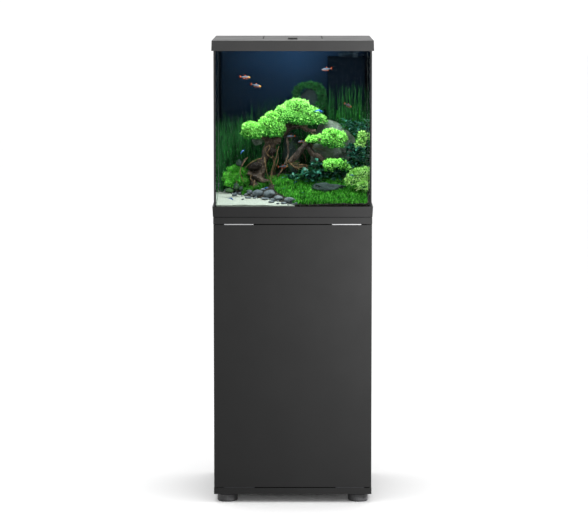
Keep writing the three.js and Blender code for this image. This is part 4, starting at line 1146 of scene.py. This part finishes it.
HINGE = satin("hinge_black", (0.009, 0.009, 0.009), rough=0.4, grain=600, var=0.2, bump=0.08, spec=0.2)
STEEL = satin("zinc_steel", (0.52, 0.53, 0.54), rough=0.30, grain=600, var=0.08, bump=0.05, metallic=1.0)
BUSH_MAT = satin("bush_plastic", (0.55, 0.54, 0.50), rough=0.4, grain=500)
SILICONE = satin("black_silicone", (0.003, 0.005, 0.008), rough=0.5, grain=200, var=0.2, bump=0.15, spec=0.05)
DIAL_MAT = satin("dial_plastic", (0.30, 0.05, 0.03), rough=0.4, grain=500)
HEATER = satin("heater_tube", (0.014, 0.015, 0.017), rough=0.12, grain=300, bump=0.02)

for nn in ("foot_front_left", "foot_front_right", "foot_rear_left", "foot_rear_right"):
    use(nn, FOOT_MAT)
    bevel(nn, 0.0012, 3)
for nn in ("bottom_board", "top_board", "side_panel_left", "side_panel_right", "back_panel", "shelf", "shelf_cleat_left", "shelf_cleat_right"):
    use(nn, BOARD_MAT)
    bevel(nn, 0.0007, 2)
use("door", DOOR_MAT)
bevel("door", 0.0008, 3)
for nn in ("hinge_plate_top", "hinge_plate_bottom"):
    use(nn, HINGE)
for nn in ("flap_pin", "latch_plunger", "latch_strike"):
    use(nn, STEEL)
    bevel(nn, 0.0003, 2)
for nn in ("hinge_bush_top", "hinge_bush_bottom"):
    use(nn, BUSH_MAT)
    bevel(nn, 0.0003, 2)
# the top strips are brushed aluminium; the bottom strips, aluminium too, take the dark copy that carries painted shade
for nn in ("edge_strip_top_left", "edge_strip_top_right", "edge_strip_bottom_left", "edge_strip_bottom_right"):
    use(nn, ALU if "top" in nn else STRIP_SHADE)
    bevel(nn, 0.0005, 2)
use("latch_body", BLACK); bevel("latch_body", 0.0005, 2)
use("base_frame", FRAME_MAT); bevel("base_frame", 0.0008, 3)
use("lid_cover", LID_MAT); bevel("lid_cover", 0.0008, 3)
use("lid_flap", LID_MAT); bevel("lid_flap", 0.0005, 2)
SILICONE.node_tree.nodes["Principled BSDF"].inputs["Alpha"].default_value = 0.03
use("silicone_seal", SILICONE)
INNER = satin("tank_black", (0.0012, 0.0024, 0.0042), rough=0.75, grain=600, var=0.25, bump=0.06, spec=0.0)
for nn in ("light_bar", "filter_housing", "pump_body", "pump_nozzle"):
    use(nn, BLACK if nn == "light_bar" else INNER); bevel(nn, 0.0006, 2)
SMOKE = satin("smoky_clear_plastic", (0.02, 0.04, 0.06), rough=0.3, grain=500, var=0.2, bump=0.03, spec=0.1)
SMOKE.node_tree.nodes["Principled BSDF"].inputs["Alpha"].default_value = 0.14
use("pump_nozzle", SMOKE)
use("heater_tube", HEATER); bevel("heater_tube", 0.0006, 2)
use("heater_dial", DIAL_MAT); bevel("heater_dial", 0.0004, 2)
use("pump_impeller", satin("impeller_ceramic", (0.62, 0.60, 0.55), rough=0.3, grain=500)); bevel("pump_impeller", 0.0003, 2)

m = Mat("sponge_foam")
h1 = m.voronoi(520)
m.colour(m.ramp(h1, [(0.0, (0.01, 0.012, 0.012)), (0.5, (0.03, 0.035, 0.04)), (0.9, (0.09, 0.10, 0.11))]))
m.normal(m.bump(h1, 1.0, 0.002))
m.set(Roughness=0.95)
use("filter_sponge", m.m)
m = Mat("carbon_pad")
h1 = m.voronoi(300)
m.colour(m.ramp(h1, [(0.0, (0.10, 0.10, 0.10)), (0.6, (0.02, 0.02, 0.02))]))
m.normal(m.bump(h1, 0.8, 0.001))
m.set(Roughness=0.8)
use("filter_media_pad", m.m)

m = Mat("light_diffuser")
m.colour(m.ramp(m.noise(200, 2), [(0.3, (0.90, 0.93, 0.97)), (0.7, (0.98, 0.99, 1.0))]))
m.set(Roughness=0.5, Emission_Color=(0.82, 0.90, 1.0, 1), Emission_Strength=3.0)
use("light_diffuser", m.m)

# film: dark blue, with painted light that makes it lighter towards the top centre as a faint sheen
m = Mat("background_film")
sep = m.n("ShaderNodeSeparateXYZ")
m.link(m.co.outputs["Generated"], sep.inputs[0])
fx = m.math("ABSOLUTE", m.math("SUBTRACT", sep.outputs["X"], 0.52))
fz = sep.outputs["Z"]
film_light_pool = m.math("MULTIPLY", m.ramp(fz, [(0.45, 0.0), (0.78, 0.35), (0.98, 1.0)]), m.ramp(fx, [(0.0, 1.0), (0.5, 0.15)]))
m.colour(m.mix(film_light_pool, m.mix(m.noise(6, 3), (0.0010, 0.0026, 0.0046), (0.0014, 0.0034, 0.0060)), (0.014, 0.036, 0.084)))
m.set(Roughness=0.8, Specular_IOR_Level=0.0)
m.normal(m.bump(m.noise(60, 2), 0.05, 0.0003))
use("background_film", m.m)


def glass_mat(name, tint, veil, edge=0.9):
    g = Mat(name)
    g.t.nodes.remove(g.b)
    tr = g.n("ShaderNodeBsdfTransparent")
    gl = g.n("ShaderNodeBsdfGlossy", Roughness=0.02)
    lw = g.n("ShaderNodeLayerWeight", Blend=0.5)
    fac = g.ramp(lw.outputs["Facing"], [(0.0, veil), (0.55, veil * 1.6), (0.72, 0.10), (0.88, 0.55), (0.97, edge)])
    g.link(g.ramp(g.noise(7, 2), [(0.3, tint), (0.7, tuple(min(1, c * 1.015) for c in tint))]), tr.inputs["Color"])
    gl.inputs["Color"].default_value = (0.86, 0.90, 0.90, 1)
    mx = g.n("ShaderNodeMixShader")
    g.link(fac, mx.inputs[0])
    g.link(tr.outputs[0], mx.inputs[1])
    g.link(gl.outputs[0], mx.inputs[2])
    g.link(mx.outputs[0], g.out.inputs[0])
    return g.m


GLASS = glass_mat("clear_glass", (0.965, 0.985, 0.98), 0.0008, edge=0.97)
for nn in ("glass_bottom", "glass_front", "glass_back", "glass_left", "glass_right"):
    use(nn, GLASS)

# polished upright edges of the tank, seen grey from the front
EDGE = satin("polished_glass_edge", (0.030, 0.031, 0.032), rough=0.35, grain=700, var=0.2, bump=0.05, spec=0.15, stretch=(1, 1, 0.05))
for sx_, nm_ in ((-1, "pane_edge_left"), (1, "pane_edge_right")):
    x0, x1 = sorted((sx_ * 200.25, sx_ * 195.6))
    v8 = [(x, y, z) for z in (764.2, 1157.4) for y in (-200.5, -200.1) for x in (x0, x1)]
    piece(nm_, v8, np.array([(0, 2, 3, 1), (4, 5, 7, 6), (0, 1, 5, 4), (2, 6, 7, 3), (0, 4, 6, 2), (1, 3, 7, 5)]), EDGE, smooth=False)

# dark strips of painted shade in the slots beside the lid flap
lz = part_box("lid_cover")[1].z * 1000  # top face of the lid
fl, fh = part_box("lid_flap")
LID_SHADE = satin("slot_shadow", (0.006, 0.006, 0.006), rough=0.7, grain=300, var=0.2, bump=0.1, spec=0.05)
for sx_, nm_ in ((-1, "slot_shade_left"), (1, "slot_shade_right")):
    xa = (fl.x if sx_ < 0 else fh.x) * 1000 + sx_ * 0.35
    x0, x1 = sorted((xa - sx_ * 0.3, xa + sx_ * 2.0))
    y0, y1 = -54.0, fh.y * 1000 - 4
    v8 = [(x, y, z) for z in (lz - 0.6, lz + 0.12) for y in (y0, y1) for x in (x0, x1)]
    piece(nm_, v8, np.array([(0, 2, 3, 1), (4, 5, 7, 6), (0, 1, 5, 4), (2, 6, 7, 3), (0, 4, 6, 2), (1, 3, 7, 5)]), LID_SHADE, body="lid", smooth=False)

# dark half moon of painted shade over the thumb scoop in front of the flap
arc = [(13 * math.cos(a), -99 - 24 * math.sin(a) * 1.0) for a in np.linspace(0, math.pi, 17)]
hm = [(x, y, z) for z in (lz - 1.2, lz + 0.12) for x, y in [(13, -62), *arc, (-13, -62)]]
k_ = len(arc) + 2
hq = [(i_, (i_ + 1) % k_, k_ + (i_ + 1) % k_, k_ + i_) for i_ in range(k_)]
ht = [(0, i_ + 1, i_) for i_ in range(1, k_ - 1)] + [(k_, k_ + i_, k_ + i_ + 1) for i_ in range(1, k_ - 1)]
piece("scoop_shadow", hm, [np.array(hq), np.array(ht)], LID_SHADE, body="lid", smooth=False)

# light that the light bar throws into the tank
area("tank_light", (0.0, -0.135, 1.152), (0.0, -0.035, 0.8), 0.34, 3.9, (0.94, 0.98, 1.0), size_y=0.12)

def only(light, names):
    """The light falls on the named parts alone."""
    c = bpy.data.collections.new(light.name + "_parts")
    for n_ in names:
        c.objects.link(NODES[n_] if isinstance(n_, str) else n_)
    light.light_linking.receiver_collection = c


only(KEY, ["lid_cover", "lid_flap"])
only(KEY_LOW, [n_ for n_ in NODES if n_ in ("door", "base_frame", "top_board", "bottom_board", "side_panel_left", "side_panel_right", "back_panel") or n_.startswith(("foot_", "edge_strip"))])

# ------------------------------------------------------------------ floor
m = Mat("floor_white")
m.colour(m.ramp(m.noise(3, 2), [(0.3, (0.93, 0.93, 0.93)), (0.7, (0.95, 0.95, 0.95))]))
m.set(Roughness=0.8, Specular_IOR_Level=0.2)
FLOOR = m.m
me = bpy.data.meshes.new("floor")
me.from_pydata([(-30, -30, 0), (30, -30, 0), (30, 30, 0), (-30, 30, 0)], [], [(0, 1, 2, 3)])
me.materials.append(FLOOR)
floor = bpy.data.objects.new("floor", me)
scene.collection.objects.link(floor)
only(FLOOR_SOFT, [floor])
only(FLOOR_LOW, [floor])
